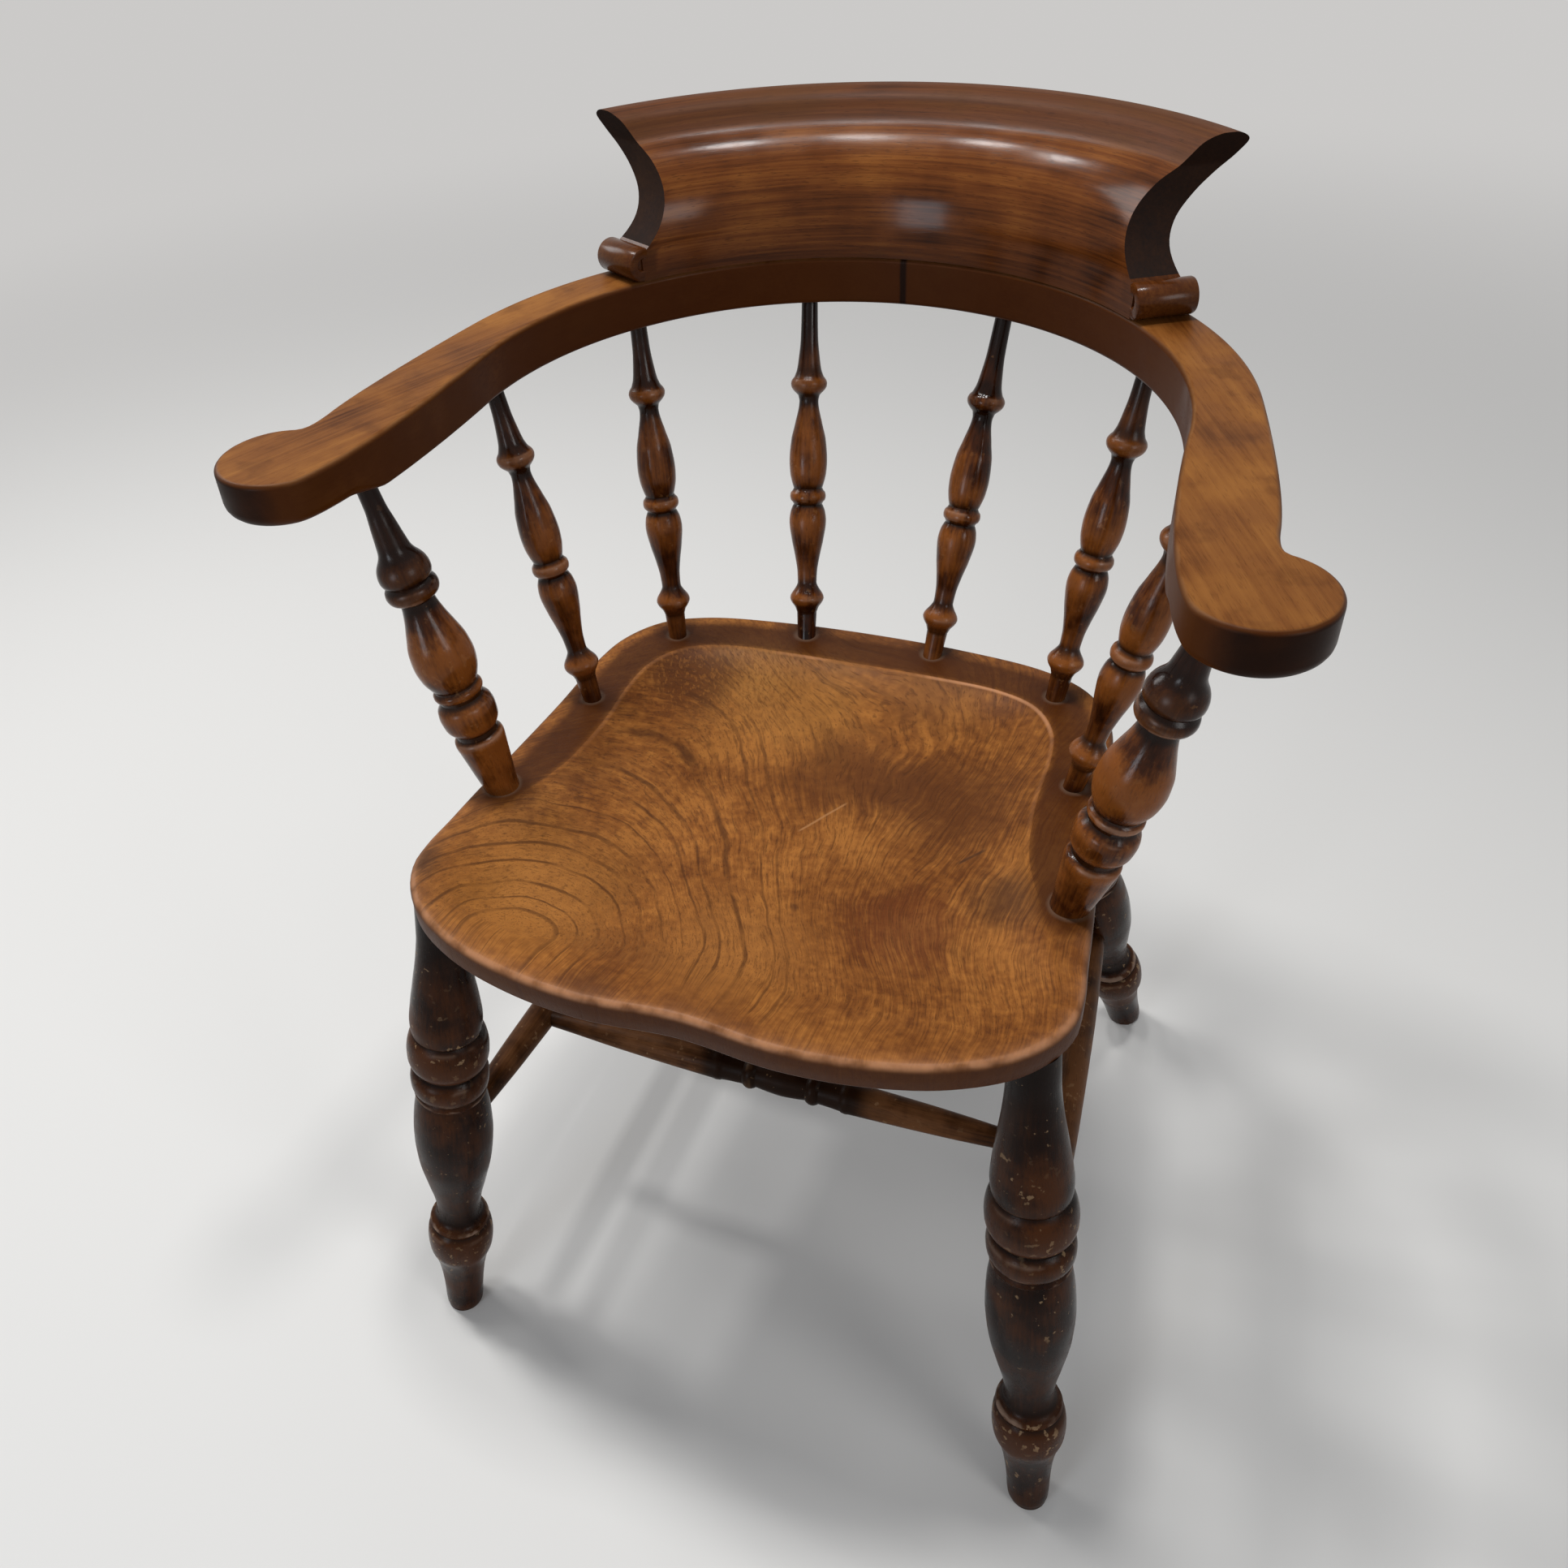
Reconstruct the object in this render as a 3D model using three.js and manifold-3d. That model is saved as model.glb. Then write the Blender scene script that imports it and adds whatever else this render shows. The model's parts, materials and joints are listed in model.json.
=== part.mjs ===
// Captain's chair of the smoker's bow kind: a scooped wooden seat on four turned legs,
// a low sawn bow that makes both arms, turned uprights between them, and a heavy crest on the bow.
// Millimetres, +Z up, standing on Z = 0 and facing -Y. Left and right are as seen from the front.
import * as THREE from 'three';
import { mergeVertices } from 'three/addons/utils/BufferGeometryUtils.js';
import Module from 'manifold-3d';

const wasm = await Module();
wasm.setup();

// Clearance of every glued joint, and how far a cutting tool runs past what it cuts
const fitGap = 0.3;
const overrun = 12;

// Seat
const seatHeight = 450;
const seatThickness = 34;
const seatEdgeHeight = 26;
const seatHalfWidth = 216;
const seatDepth = 411;
const seatFrontReach = 289;
const seatUnderBevel = 14;
const seatEdgeRound = 9;
const dishDepth = 12;
const rimWidth = 46;
const frontRimWidth = 12.6;
const dishSlope = 62;
const frontDishSlope = 124;
const pommelRise = 5;
const pommelHalfWidth = 47.5;

// Bow: two sawn arms that meet at the centre of the back. It stands over the seat by its rise,
// and its inner edge lies behind the back of the seat by its setback.
const bowRise = 233;
const bowSetback = 60;
const bowThickness = 31.5;
const bowInnerRadius = 212;
const bowBackWidth = 38;
const bowEdgeRound = 3;
const armReach = 150;
const armWaistWidth = 49;
const armWaistFlare = 3.5;
const waistSetback = 58;
const handRadius = 35.5;
const handOverhang = 10;
const handTurnAngle = 72;
const handInnerAngle = 45;
const handThickness = 27;
const handReliefSetback = 37;
const handReliefRun = 26;
const postSetback = 50;
const postHeadInset = 17;

// Crest
const crestHeight = 96;
const crestFlare = 72;
const crestFoot = 38;
const crestBlankAngle = 53;
const crestScrollAngle = 49.3;
const crestSawAngle = 61.5;
const crestHollowRadius = 60;
const crestHollowDepth = 27.6;
const crestHollowHeight = 68;
const scrollRadius = 11;
const scrollEye = 4;
const scrollSink = 1;

// Turned uprights between the seat and the bow
const postRadius = 20.8;
const spindleRadius = 14;
const uprightTenon = 12;

// Legs
const legRadius = 29;
const legTurning = 386;
const legNeckRadius = 15;
const legTenon = 14;
const frontSplayOut = 39.6;
const frontSplayForward = 46;
const backSplayOut = 83;
const backSplayBack = 133.8;

// Stretchers
const stretcherFrontHeight = 203;
const stretcherBackHeight = 176;
const sideStretcherRadius = 12.5;
const crossStretcherRadius = 13;
const stretcherTenonRadius = 7.5;
const crossTenonRadius = 6;
const stretcherSetback = 10;
const crossSetback = 4.5;

// Dowels hidden in the joints
const crestDowelAngles = [9, 33];
const crestDowelRadius = 5;
const crestDowelHalf = 17;
const seamDowelRadius = 4.5;
const seamDowelHalf = 24;
const seamDowelSpread = 7.6;

// Facets round the turned pieces, the seat and the bow, along the crest and round its hollow ends
const legFacets = 14;
const postFacets = 12;
const spindleFacets = 10;
const roundFacets = 12;
const seatFacets = 42;
const bowFacets = 7;
const crestSlices = 12;
const hollowFacets = 9;
const dowelFacets = 8;
const stretcherFacets = 10;

// Plan of the seat, from the middle of the front edge round its right side to the middle of the back.
// Shares of the half width, and of the depth from front to back.
const seatPlanShares = [
  [0, 0.011], [0.28, 0], [0.52, 0.012], [0.74, 0.046], [0.907, 0.102], [0.995, 0.18],
  [0.986, 0.302], [0.958, 0.46], [0.926, 0.63], [0.907, 0.776], [0.87, 0.859],
  [0.775, 0.93], [0.62, 0.97], [0.33, 0.993], [0, 1],
];

// The dish: shares of its run inwards, and of its depth. It begins to widen its rim at the first
// share of the depth of the seat, and has its full rim from the second share back.
const dishShares = [[0.18, 0.36], [0.42, 0.7], [0.7, 0.91], [1, 1]];
const rimRampShares = [0.1, 0.5];

// Feet of the uprights on the seat, as shares of the half width and of the depth, and the angles
// of the spindles' heads round the bow, from its right end to the middle of the back
const postFootShares = [0.898, 0.391];
const spindleFootShares = [[0.817, 0.66], [0.679, 0.891], [0.23, 0.958]];
const spindleHeadAngles = [8.1, 40.7, 72.3];
const spindleNames = ['side', 'corner', 'back'];

// Where the cross stretchers meet the side stretchers, as shares of those, and where the legs enter
// the seat, as shares of its half width and of its depth
const crossPlaceShares = [0.33, 0.67];
const legTopShares = { front: [0.9, 0.151], back: [0.685, 0.869] };

// How far the curves of an arm reach along it, as shares of the reach: inside from the bow and from
// the hand, outside from the hand and from the bow
const armCurveShares = [0.6, 0.12, 0.15, 0.15];

// Turned profiles from the lower end: share of the turned length, share of the largest radius
const legProfileShares = [
  [0, 0.49], [0.12, 0.6], [0.165, 0.7], [0.2, 0.85], [0.228, 0.89], [0.25, 0.82], [0.256, 0.7],
  [0.263, 0.77], [0.271, 0.77], [0.277, 0.62], [0.3, 0.565], [0.335, 0.62], [0.39, 0.76], [0.47, 0.95],
  [0.53, 1], [0.585, 0.965], [0.618, 0.87], [0.63, 0.93], [0.645, 0.88], [0.662, 0.93], [0.676, 0.86],
  [0.71, 0.875], [0.756, 0.99], [0.784, 0.95], [0.793, 0.875], [0.82, 0.91], [0.866, 0.86],
  [0.93, 0.72], [1, 0.585],
];
const postProfileShares = [
  [0, 0.577], [0.165, 0.832], [0.183, 0.807], [0.19, 0.687], [0.205, 0.687], [0.225, 0.87], [0.265, 0.933],
  [0.295, 0.86], [0.305, 0.705], [0.32, 0.705], [0.326, 0.81], [0.345, 0.8], [0.351, 0.71], [0.39, 0.91],
  [0.436, 1], [0.48, 0.955], [0.568, 0.654], [0.62, 0.54], [0.634, 0.78], [0.655, 0.85], [0.677, 0.79],
  [0.683, 0.71], [0.69, 0.8], [0.708, 0.83], [0.732, 0.78], [0.756, 0.63], [0.8, 0.47], [0.9, 0.325],
  [1, 0.3],
];
const spindleProfileShares = [
  [0, 0.493], [0.077, 0.543], [0.1, 0.73], [0.119, 0.92], [0.139, 0.8], [0.168, 0.52], [0.205, 0.535],
  [0.307, 0.857], [0.365, 0.986], [0.41, 0.83], [0.424, 0.77], [0.43, 0.92], [0.452, 0.92], [0.458, 0.77],
  [0.505, 0.94], [0.548, 1], [0.615, 0.905], [0.726, 0.5], [0.757, 0.643], [0.769, 0.92], [0.786, 0.93],
  [0.805, 0.7], [0.846, 0.54], [1, 0.4],
];
const sideStretcherShares = [
  [0, 0.6], [0.06, 0.68], [0.22, 0.9], [0.42, 1], [0.64, 0.98], [0.84, 0.84], [1, 0.6],
];
const crossStretcherShares = [
  [0, 0.46], [0.05, 0.54], [0.18, 0.76], [0.3, 0.9], [0.37, 0.96], [0.41, 0.86], [0.425, 0.82],
  [0.429, 0.95], [0.438, 1], [0.447, 0.95], [0.451, 0.8], [0.472, 0.88], [0.5, 0.93],
];

// Section of the crest, from its front foot up the hollow face, over the lip and down the back
// to just above its rear foot. Shares of the flare behind the front foot, and of the height.
const crestSectionShares = [
  [0, 0], [0.02, 0.24], [0.07, 0.42], [0.17, 0.58], [0.34, 0.73], [0.5, 0.82], [0.56, 0.875], [0.64, 0.955],
  [0.78, 1], [0.93, 0.985], [1, 0.94], [0.94, 0.86], [0.8, 0.76], [0.64, 0.64], [0.49, 0.5], [0.42, 0.36],
  [0.44, 0.18],
];

const wood = {
  seat: new THREE.MeshStandardMaterial({ color: '#8a5226', roughness: 0.42, metalness: 0 }),
  bow: new THREE.MeshStandardMaterial({ color: '#6b4222', roughness: 0.4, metalness: 0 }),
  crest: new THREE.MeshStandardMaterial({ color: '#55291a', roughness: 0.28, metalness: 0 }),
  upright: new THREE.MeshStandardMaterial({ color: '#4a2613', roughness: 0.35, metalness: 0 }),
  leg: new THREE.MeshStandardMaterial({ color: '#2f1a11', roughness: 0.42, metalness: 0 }),
  stretcher: new THREE.MeshStandardMaterial({ color: '#5e3a1f', roughness: 0.5, metalness: 0 }),
  dowel: new THREE.MeshStandardMaterial({ color: '#b08a58', roughness: 0.7, metalness: 0 }),
};
const sides = [{ name: 'left', sign: -1 }, { name: 'right', sign: 1 }];

// Places that follow from the sizes
const seatUnderside = seatHeight - seatThickness;
const bowUnderside = seatHeight + bowRise;
const bowTop = bowUnderside + bowThickness;
const bowOuterRadius = bowInnerRadius + bowBackWidth;
const bowMiddleRadius = bowInnerRadius + bowBackWidth / 2;
const bowCentreY = seatDepth - seatFrontReach + bowSetback - bowInnerRadius;
const handX = bowOuterRadius + handOverhang;
const handY = bowCentreY - armReach;
const waistX = bowInnerRadius + armWaistFlare + armWaistWidth;
const waistY = handY + waistSetback;
const crestUnderside = bowTop + fitGap;

// A place on the seat in plan, from shares of its half width and of its depth
function seatPlace(shares, side) {
  return new THREE.Vector2(side * shares[0] * seatHalfWidth, shares[1] * seatDepth - seatFrontReach);
}

// One closed body: shared corners merged, no flat triangles, faces pointing out
function closedBody(geometry) {
  geometry.deleteAttribute('normal');
  geometry.deleteAttribute('uv');
  const merged = mergeVertices(geometry, fitGap / 1000);
  const index = merged.index.array;
  const kept = [];
  for (let i = 0; i < index.length; i += 3) {
    const [a, b, c] = [index[i], index[i + 1], index[i + 2]];
    if (a !== b && b !== c && c !== a) kept.push(a, b, c);
  }
  merged.setIndex(kept);
  if (signedVolume(merged) < 0) merged.setIndex(kept.reverse());
  return merged;
}

function signedVolume(geometry) {
  const place = geometry.attributes.position;
  const index = geometry.index.array;
  const corners = [new THREE.Vector3(), new THREE.Vector3(), new THREE.Vector3()];
  let volume = 0;
  for (let i = 0; i < index.length; i += 3) {
    corners.forEach((corner, k) => corner.fromBufferAttribute(place, index[i + k]));
    volume += corners[0].dot(corners[1].clone().cross(corners[2])) / 6;
  }
  return volume;
}

function toManifold(geometry) {
  const body = closedBody(geometry);
  const mesh = new wasm.Mesh({
    numProp: 3,
    vertProperties: new Float32Array(body.attributes.position.array),
    triVerts: new Uint32Array(body.index.array),
  });
  return new wasm.Manifold(mesh);
}

function fromManifold(solid) {
  const mesh = solid.getMesh();
  const geometry = new THREE.BufferGeometry();
  geometry.setAttribute('position', new THREE.BufferAttribute(mesh.vertProperties, 3));
  geometry.setIndex(new THREE.BufferAttribute(mesh.triVerts, 1));
  return geometry;
}

// The piece with every tool taken out of it; both are given in the chair's own frame
function cutAway(geometry, tools) {
  let solid = toManifold(geometry);
  for (const tool of tools) solid = solid.subtract(toManifold(tool));
  return fromManifold(solid);
}

// A body of closed rings, each with as many points, that starts and ends in one middle point
function ringBody(startPoint, rings, endPoint) {
  const count = rings[0].length;
  const points = [startPoint, ...rings.flat(), endPoint];
  const faces = [];
  const at = (ring, k) => 1 + ring * count + (k % count);
  const last = points.length - 1;
  for (let k = 0; k < count; k += 1) {
    faces.push(0, at(0, k + 1), at(0, k));
    faces.push(last, at(rings.length - 1, k), at(rings.length - 1, k + 1));
    for (let ring = 0; ring < rings.length - 1; ring += 1) {
      faces.push(at(ring, k), at(ring, k + 1), at(ring + 1, k + 1));
      faces.push(at(ring, k), at(ring + 1, k + 1), at(ring + 1, k));
    }
  }
  const geometry = new THREE.BufferGeometry().setFromPoints(points);
  geometry.setIndex(faces);
  return geometry;
}

// Turned pieces lie along local +Z with their shoulder at zero
function turned(profile, facets) {
  const points = profile.map(([along, radius]) => new THREE.Vector2(radius, along));
  points.unshift(new THREE.Vector2(0, points[0].y));
  points.push(new THREE.Vector2(0, points[points.length - 1].y));
  const geometry = new THREE.LatheGeometry(points, facets);
  geometry.rotateX(Math.PI / 2);
  return geometry;
}

function scaledProfile(shares, length, radius) {
  return shares.map(([along, out]) => [along * length, out * radius]);
}

// The placement that carries local +Z from one point towards another
function aimed(from, to) {
  const direction = to.clone().sub(from).normalize();
  const turn = new THREE.Quaternion().setFromUnitVectors(new THREE.Vector3(0, 0, 1), direction);
  return new THREE.Matrix4().compose(from, turn, new THREE.Vector3(1, 1, 1));
}

// The point as far beyond one end of a line as its other end lies before it
function beyond(end, otherEnd) {
  return end.clone().add(end).sub(otherEnd);
}

// A round hole that starts before the point from and ends at the given depth beyond it.
// Its flats, not its corners, stand clear of what goes in.
function hole(from, to, radius, depth) {
  const bore = (radius + fitGap) / Math.cos(Math.PI / roundFacets);
  return turned([[-overrun, bore], [depth + fitGap, bore]], roundFacets).applyMatrix4(aimed(from, to));
}

function named(name, geometry, material) {
  const mesh = new THREE.Mesh(closedBody(geometry), material.clone());
  mesh.name = name;
  return mesh;
}

// A turned piece between two points, cut by tools that are given in the chair's frame
function turnedBetween(name, from, to, profile, facets, material, tools = []) {
  const place = aimed(from, to);
  const back = place.clone().invert();
  const geometry = cutAway(turned(profile, facets), tools.map((tool) => tool.clone().applyMatrix4(back)));
  const mesh = named(name, geometry, material);
  place.decompose(mesh.position, mesh.quaternion, mesh.scale);
  return mesh;
}

// Places of the uprights and the legs on one side
function uprightEnds(footShares, headX, headY, side) {
  const foot = seatPlace(footShares, side);
  return {
    foot: new THREE.Vector3(foot.x, foot.y, seatHeight),
    head: new THREE.Vector3(side * headX, headY, bowUnderside),
  };
}

function postEnds(side) {
  return uprightEnds(postFootShares, waistX - postHeadInset, handY + postSetback, side);
}

function spindleEnds(which, side) {
  const angle = THREE.MathUtils.degToRad(spindleHeadAngles[which]);
  const headX = bowMiddleRadius * Math.cos(angle);
  const headY = bowCentreY + bowMiddleRadius * Math.sin(angle);
  return uprightEnds(spindleFootShares[which], headX, headY, side);
}

function legEnds(row, side) {
  const front = row === 'front';
  const top = seatPlace(legTopShares[row], side);
  const out = front ? frontSplayOut : backSplayOut;
  const back = front ? -frontSplayForward : backSplayBack;
  return {
    foot: new THREE.Vector3(top.x + side * out, top.y + back, 0),
    head: new THREE.Vector3(top.x, top.y, seatUnderside),
  };
}

function legAxisAt(row, side, height) {
  const { foot, head } = legEnds(row, side);
  return foot.clone().lerp(head, height / seatUnderside);
}

// Side stretchers run from the front leg to the back leg, cross stretchers between those at thirds
function sideStretcherEnds(side) {
  return {
    front: legAxisAt('front', side, stretcherFrontHeight),
    back: legAxisAt('back', side, stretcherBackHeight),
  };
}

function crossStretcherEnds(placeShare) {
  return sides.map(({ sign }) => {
    const { front, back } = sideStretcherEnds(sign);
    return front.lerp(back, placeShare);
  });
}

// Seat: rings from the middle of the underside, over the edge, to the middle of the scooped top
function seatBlank() {
  const half = seatPlanShares.map((shares) => seatPlace(shares, 1));
  const mirrored = half.slice(1, -1).reverse().map((point) => new THREE.Vector2(-point.x, point.y));
  const knots = [...half, ...mirrored].map((point) => new THREE.Vector3(point.x, point.y, 0));
  const outline = new THREE.CatmullRomCurve3(knots, true, 'centripetal').getSpacedPoints(seatFacets);
  outline.pop();
  const middle = new THREE.Vector3(0, seatDepth / 2 - seatFrontReach, 0);
  const ring = (insetAt, heightAt) => outline.map((edge) => {
    const inward = middle.clone().sub(edge);
    const inset = insetAt(edge, inward.length());
    const place = edge.clone().add(inward.setLength(inset));
    place.z = heightAt(place);
    return place;
  });
  const flat = (inset, height) => ring(() => inset, () => height);
  const edgeKnee = seatEdgeRound * (1 - Math.SQRT1_2);
  const rings = [
    flat(seatUnderBevel, seatUnderside),
    flat(0, seatHeight - seatEdgeHeight),
    flat(0, seatHeight - seatEdgeRound),
    flat(edgeKnee, seatHeight - edgeKnee),
    flat(seatEdgeRound, seatHeight),
    ring(ridgeInset, () => seatHeight),
  ];
  for (const [runShare, sinkShare] of dishShares) {
    const insetAt = (edge) => ridgeInset(edge) + runShare * dishRun(edge);
    rings.push(ring(insetAt, (place) => dishHeight(place, sinkShare)));
  }
  const innerInset = (edge, reach) => (ridgeInset(edge) + dishRun(edge) + reach) / 2;
  rings.push(ring(innerInset, (place) => dishHeight(place, 1)));
  const bottom = new THREE.Vector3(middle.x, middle.y, seatUnderside);
  const top = new THREE.Vector3(middle.x, middle.y, dishHeight(middle, 1));
  return ringBody(bottom, rings, top);
}

// How far back a place on the seat lies: 0 on the front part, 1 from the uprights back
function rearShare(place) {
  return THREE.MathUtils.smoothstep((place.y + seatFrontReach) / seatDepth, ...rimRampShares);
}

// The flat rim behind is wide, and dies away towards the front edge
function ridgeInset(edge) {
  return THREE.MathUtils.lerp(frontRimWidth, rimWidth, rearShare(edge));
}

// The dish falls steeply from the rim behind, and slowly from the front edge
function dishRun(edge) {
  return THREE.MathUtils.lerp(frontDishSlope, dishSlope, rearShare(edge));
}

// Between the thighs the dish keeps a low ridge near the front
function dishHeight(place, sinkShare) {
  const spread = place.x / pommelHalfWidth;
  const ridge = pommelRise * (1 - rearShare(place)) * Math.exp(-spread * spread);
  return seatHeight - sinkShare * (dishDepth - ridge);
}

function seat() {
  const tools = [];
  for (const { sign } of sides) {
    for (const row of ['front', 'back']) {
      const { foot, head } = legEnds(row, sign);
      tools.push(hole(head, beyond(head, foot), legNeckRadius, legTenon));
    }
    const post = postEnds(sign);
    tools.push(uprightHole(post.foot, post.head, postRadius * postProfileShares[0][1]));
    spindleFootShares.forEach((shares, which) => {
      const { foot, head } = spindleEnds(which, sign);
      tools.push(uprightHole(foot, head, spindleRadius * spindleProfileShares[0][1]));
    });
  }
  return named('seat', cutAway(seatBlank(), tools), wood.seat);
}

// A socket at one end of an upright, bored away from its other end
function uprightHole(end, otherEnd, radius) {
  return hole(end, beyond(end, otherEnd), radius, uprightTenon);
}

// Plan of one arm: the bow's quarter ring, the arm that grows forward from it, and the round hand.
// The inner edge sweeps out into the hand, and meets its round part at the inner angle.
function armPlan(side) {
  const plan = new THREE.Shape();
  const handTurn = THREE.MathUtils.degToRad(handTurnAngle);
  const innerTurn = THREE.MathUtils.degToRad(handInnerAngle);
  const innerX = handX - handRadius * Math.cos(innerTurn);
  const innerY = handY - handRadius * Math.sin(innerTurn);
  const [innerBack, innerFront, outerFront, outerBack] = armCurveShares.map((share) => share * armReach);
  plan.moveTo(-overrun, bowCentreY + bowInnerRadius);
  plan.lineTo(0, bowCentreY + bowInnerRadius);
  plan.absarc(0, bowCentreY, bowInnerRadius, Math.PI / 2, 0, true);
  plan.bezierCurveTo(
    bowInnerRadius, bowCentreY - innerBack,
    innerX - innerFront * Math.sin(innerTurn), innerY + innerFront * Math.cos(innerTurn),
    innerX, innerY,
  );
  plan.absarc(handX, handY, handRadius, Math.PI + innerTurn, Math.PI * 2 + handTurn, false);
  plan.quadraticCurveTo(waistX, handY + handRadius, waistX, waistY);
  plan.bezierCurveTo(
    waistX, waistY + outerFront,
    bowOuterRadius, bowCentreY - outerBack,
    bowOuterRadius, bowCentreY,
  );
  plan.absarc(0, bowCentreY, bowOuterRadius, 0, Math.PI / 2, false);
  plan.lineTo(-overrun, bowCentreY + bowOuterRadius);
  plan.closePath();
  const points = plan.getPoints(bowFacets).map((point) => new THREE.Vector2(side * point.x, point.y));
  return new THREE.Shape(points);
}

// What is taken off under the hand, which is thinner than the bow: a slope forward of the post,
// and then level to the front
function handRelief(side) {
  const depth = bowThickness - handThickness;
  const relief = new THREE.Shape();
  relief.moveTo(0, 0);
  relief.lineTo(handReliefRun, depth);
  relief.lineTo(armReach, depth);
  relief.lineTo(armReach, -overrun);
  relief.lineTo(0, -overrun);
  relief.closePath();
  const waste = new THREE.ExtrudeGeometry(relief, { depth: armReach, bevelEnabled: false });
  const place = new THREE.Matrix4().makeBasis(
    new THREE.Vector3(0, -1, 0),
    new THREE.Vector3(0, 0, 1),
    new THREE.Vector3(-1, 0, 0),
  ).setPosition(side * handX + armReach / 2, handY + handReliefSetback, bowUnderside);
  return waste.applyMatrix4(place);
}

function arm(side) {
  const blank = new THREE.ExtrudeGeometry(armPlan(side.sign), {
    depth: bowThickness - bowEdgeRound * 2,
    bevelThickness: bowEdgeRound,
    bevelSize: bowEdgeRound,
    bevelOffset: -bowEdgeRound,
    bevelSegments: 1,
  });
  blank.translate(0, 0, bowUnderside + bowEdgeRound);
  const otherSide = new THREE.BoxGeometry(bowOuterRadius, bowOuterRadius, bowThickness + overrun * 2);
  const seam = side.sign * (fitGap - bowOuterRadius) / 2;
  otherSide.translate(seam, bowCentreY + bowOuterRadius, bowUnderside + bowThickness / 2);
  const tools = [otherSide, handRelief(side.sign)];
  const post = postEnds(side.sign);
  tools.push(uprightHole(post.head, post.foot, postRadius * postProfileShares.at(-1)[1]));
  spindleFootShares.forEach((shares, which) => {
    const { foot, head } = spindleEnds(which, side.sign);
    tools.push(uprightHole(head, foot, spindleRadius * spindleProfileShares.at(-1)[1]));
  });
  tools.push(...crestDowelBodies(fitGap), ...seamDowelBodies(fitGap));
  return named(`arm_${side.name}`, cutAway(blank, tools), wood.bow);
}

// Places on the bow: an angle from the middle of the back, a distance behind the inner edge, a height
function onBow(angle, behind, height) {
  const turn = THREE.MathUtils.degToRad(angle);
  const radius = bowInnerRadius + behind;
  return new THREE.Vector3(radius * Math.sin(turn), bowCentreY + radius * Math.cos(turn), height);
}

// The crest's foot is as deep as the bow, and lies flat on it
function crestBlank() {
  const section = crestSectionShares.map(
    ([behind, up]) => new THREE.Vector2(behind * crestFlare, up * crestHeight),
  );
  section.push(new THREE.Vector2(crestFoot, 0));
  const count = section.length;
  const points = [];
  for (let k = 0; k <= crestSlices; k += 1) {
    const angle = crestBlankAngle * (2 * k / crestSlices - 1);
    for (const place of section) points.push(onBow(angle, place.x, crestUnderside + place.y));
  }
  const faces = [];
  for (let k = 0; k < crestSlices; k += 1) {
    for (let i = 0; i < count; i += 1) {
      const [a, b] = [k * count + i, k * count + (i + 1) % count];
      faces.push(a, b, b + count, a, b + count, a + count);
    }
  }
  const last = crestSlices * count;
  for (const [a, b, c] of THREE.ShapeUtils.triangulateShape(section, [])) {
    faces.push(a, b, c, last + c, last + b, last + a);
  }
  const geometry = new THREE.BufferGeometry().setFromPoints(points);
  geometry.setIndex(faces);
  return geometry;
}

// The line that the saw follows through one end of the crest, level and turned out from straight back.
// It starts over the inner edge of the bow, in the middle of the scroll.
function sawLine(side) {
  const turn = THREE.MathUtils.degToRad(crestSawAngle);
  return {
    start: onBow(side * crestScrollAngle, 0, crestUnderside),
    along: new THREE.Vector3(side * Math.sin(turn), Math.cos(turn), 0),
    outward: new THREE.Vector3(side * Math.cos(turn), -Math.sin(turn), 0),
  };
}

// What the saw takes away: everything outside a round hollow that runs down into the scroll
function endWaste(side) {
  const { start, outward } = sawLine(side);
  const middle = crestHollowRadius - crestHollowDepth;
  const fall = Math.asin(middle / crestHollowRadius);
  const outline = new THREE.Shape();
  outline.moveTo(crestHollowRadius, -overrun);
  outline.lineTo(0, -overrun);
  outline.absarc(middle, crestHollowHeight, crestHollowRadius, Math.PI * 3 / 2 - fall, Math.PI / 2, true);
  outline.lineTo(crestHollowRadius * 2, crestHollowHeight + crestHollowRadius);
  outline.lineTo(crestHollowRadius * 2, -overrun);
  outline.closePath();
  const reach = crestFlare + crestFoot + overrun;
  const waste = new THREE.ExtrudeGeometry(outline, {
    depth: reach * 2,
    bevelEnabled: false,
    curveSegments: hollowFacets,
  });
  const up = new THREE.Vector3(0, 0, 1);
  const place = new THREE.Matrix4().makeBasis(outward, up, outward.clone().cross(up)).setPosition(start);
  return waste.translate(0, 0, -reach).applyMatrix4(place);
}

// A scroll is a short roll along the saw line, with a sunk eye in each end
function scroll(side) {
  const { start, along } = sawLine(side);
  const front = start.clone().setZ(crestUnderside + scrollRadius);
  const rear = front.clone().addScaledVector(along, crestFoot);
  const inside = crestFoot - scrollSink;
  const profile = [
    [scrollSink, scrollEye], [0, scrollEye],
    [0, scrollRadius - scrollSink], [scrollSink, scrollRadius],
    [inside, scrollRadius], [crestFoot, scrollRadius - scrollSink],
    [crestFoot, scrollEye], [inside, scrollEye],
  ];
  return turned(profile, roundFacets).applyMatrix4(aimed(front, rear));
}

function crest() {
  let solid = toManifold(crestBlank());
  for (const { sign } of sides) {
    solid = solid.subtract(toManifold(endWaste(sign)));
    solid = solid.add(toManifold(scroll(sign)));
  }
  return named('crest', cutAway(fromManifold(solid), crestDowelBodies(fitGap)), wood.crest);
}

// Dowels hold the crest down on the bow, and the two arms together under it
function crestDowelBodies(slack) {
  const half = crestDowelHalf + slack;
  const radius = crestDowelRadius + slack / Math.cos(Math.PI / dowelFacets);
  return sides.flatMap(({ sign }) => crestDowelAngles.map((angle) => {
    const middle = onBow(sign * angle, crestFoot / 2, bowTop);
    return turned([[-half, radius], [half, radius]], dowelFacets)
      .translate(middle.x, middle.y, middle.z);
  }));
}

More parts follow.
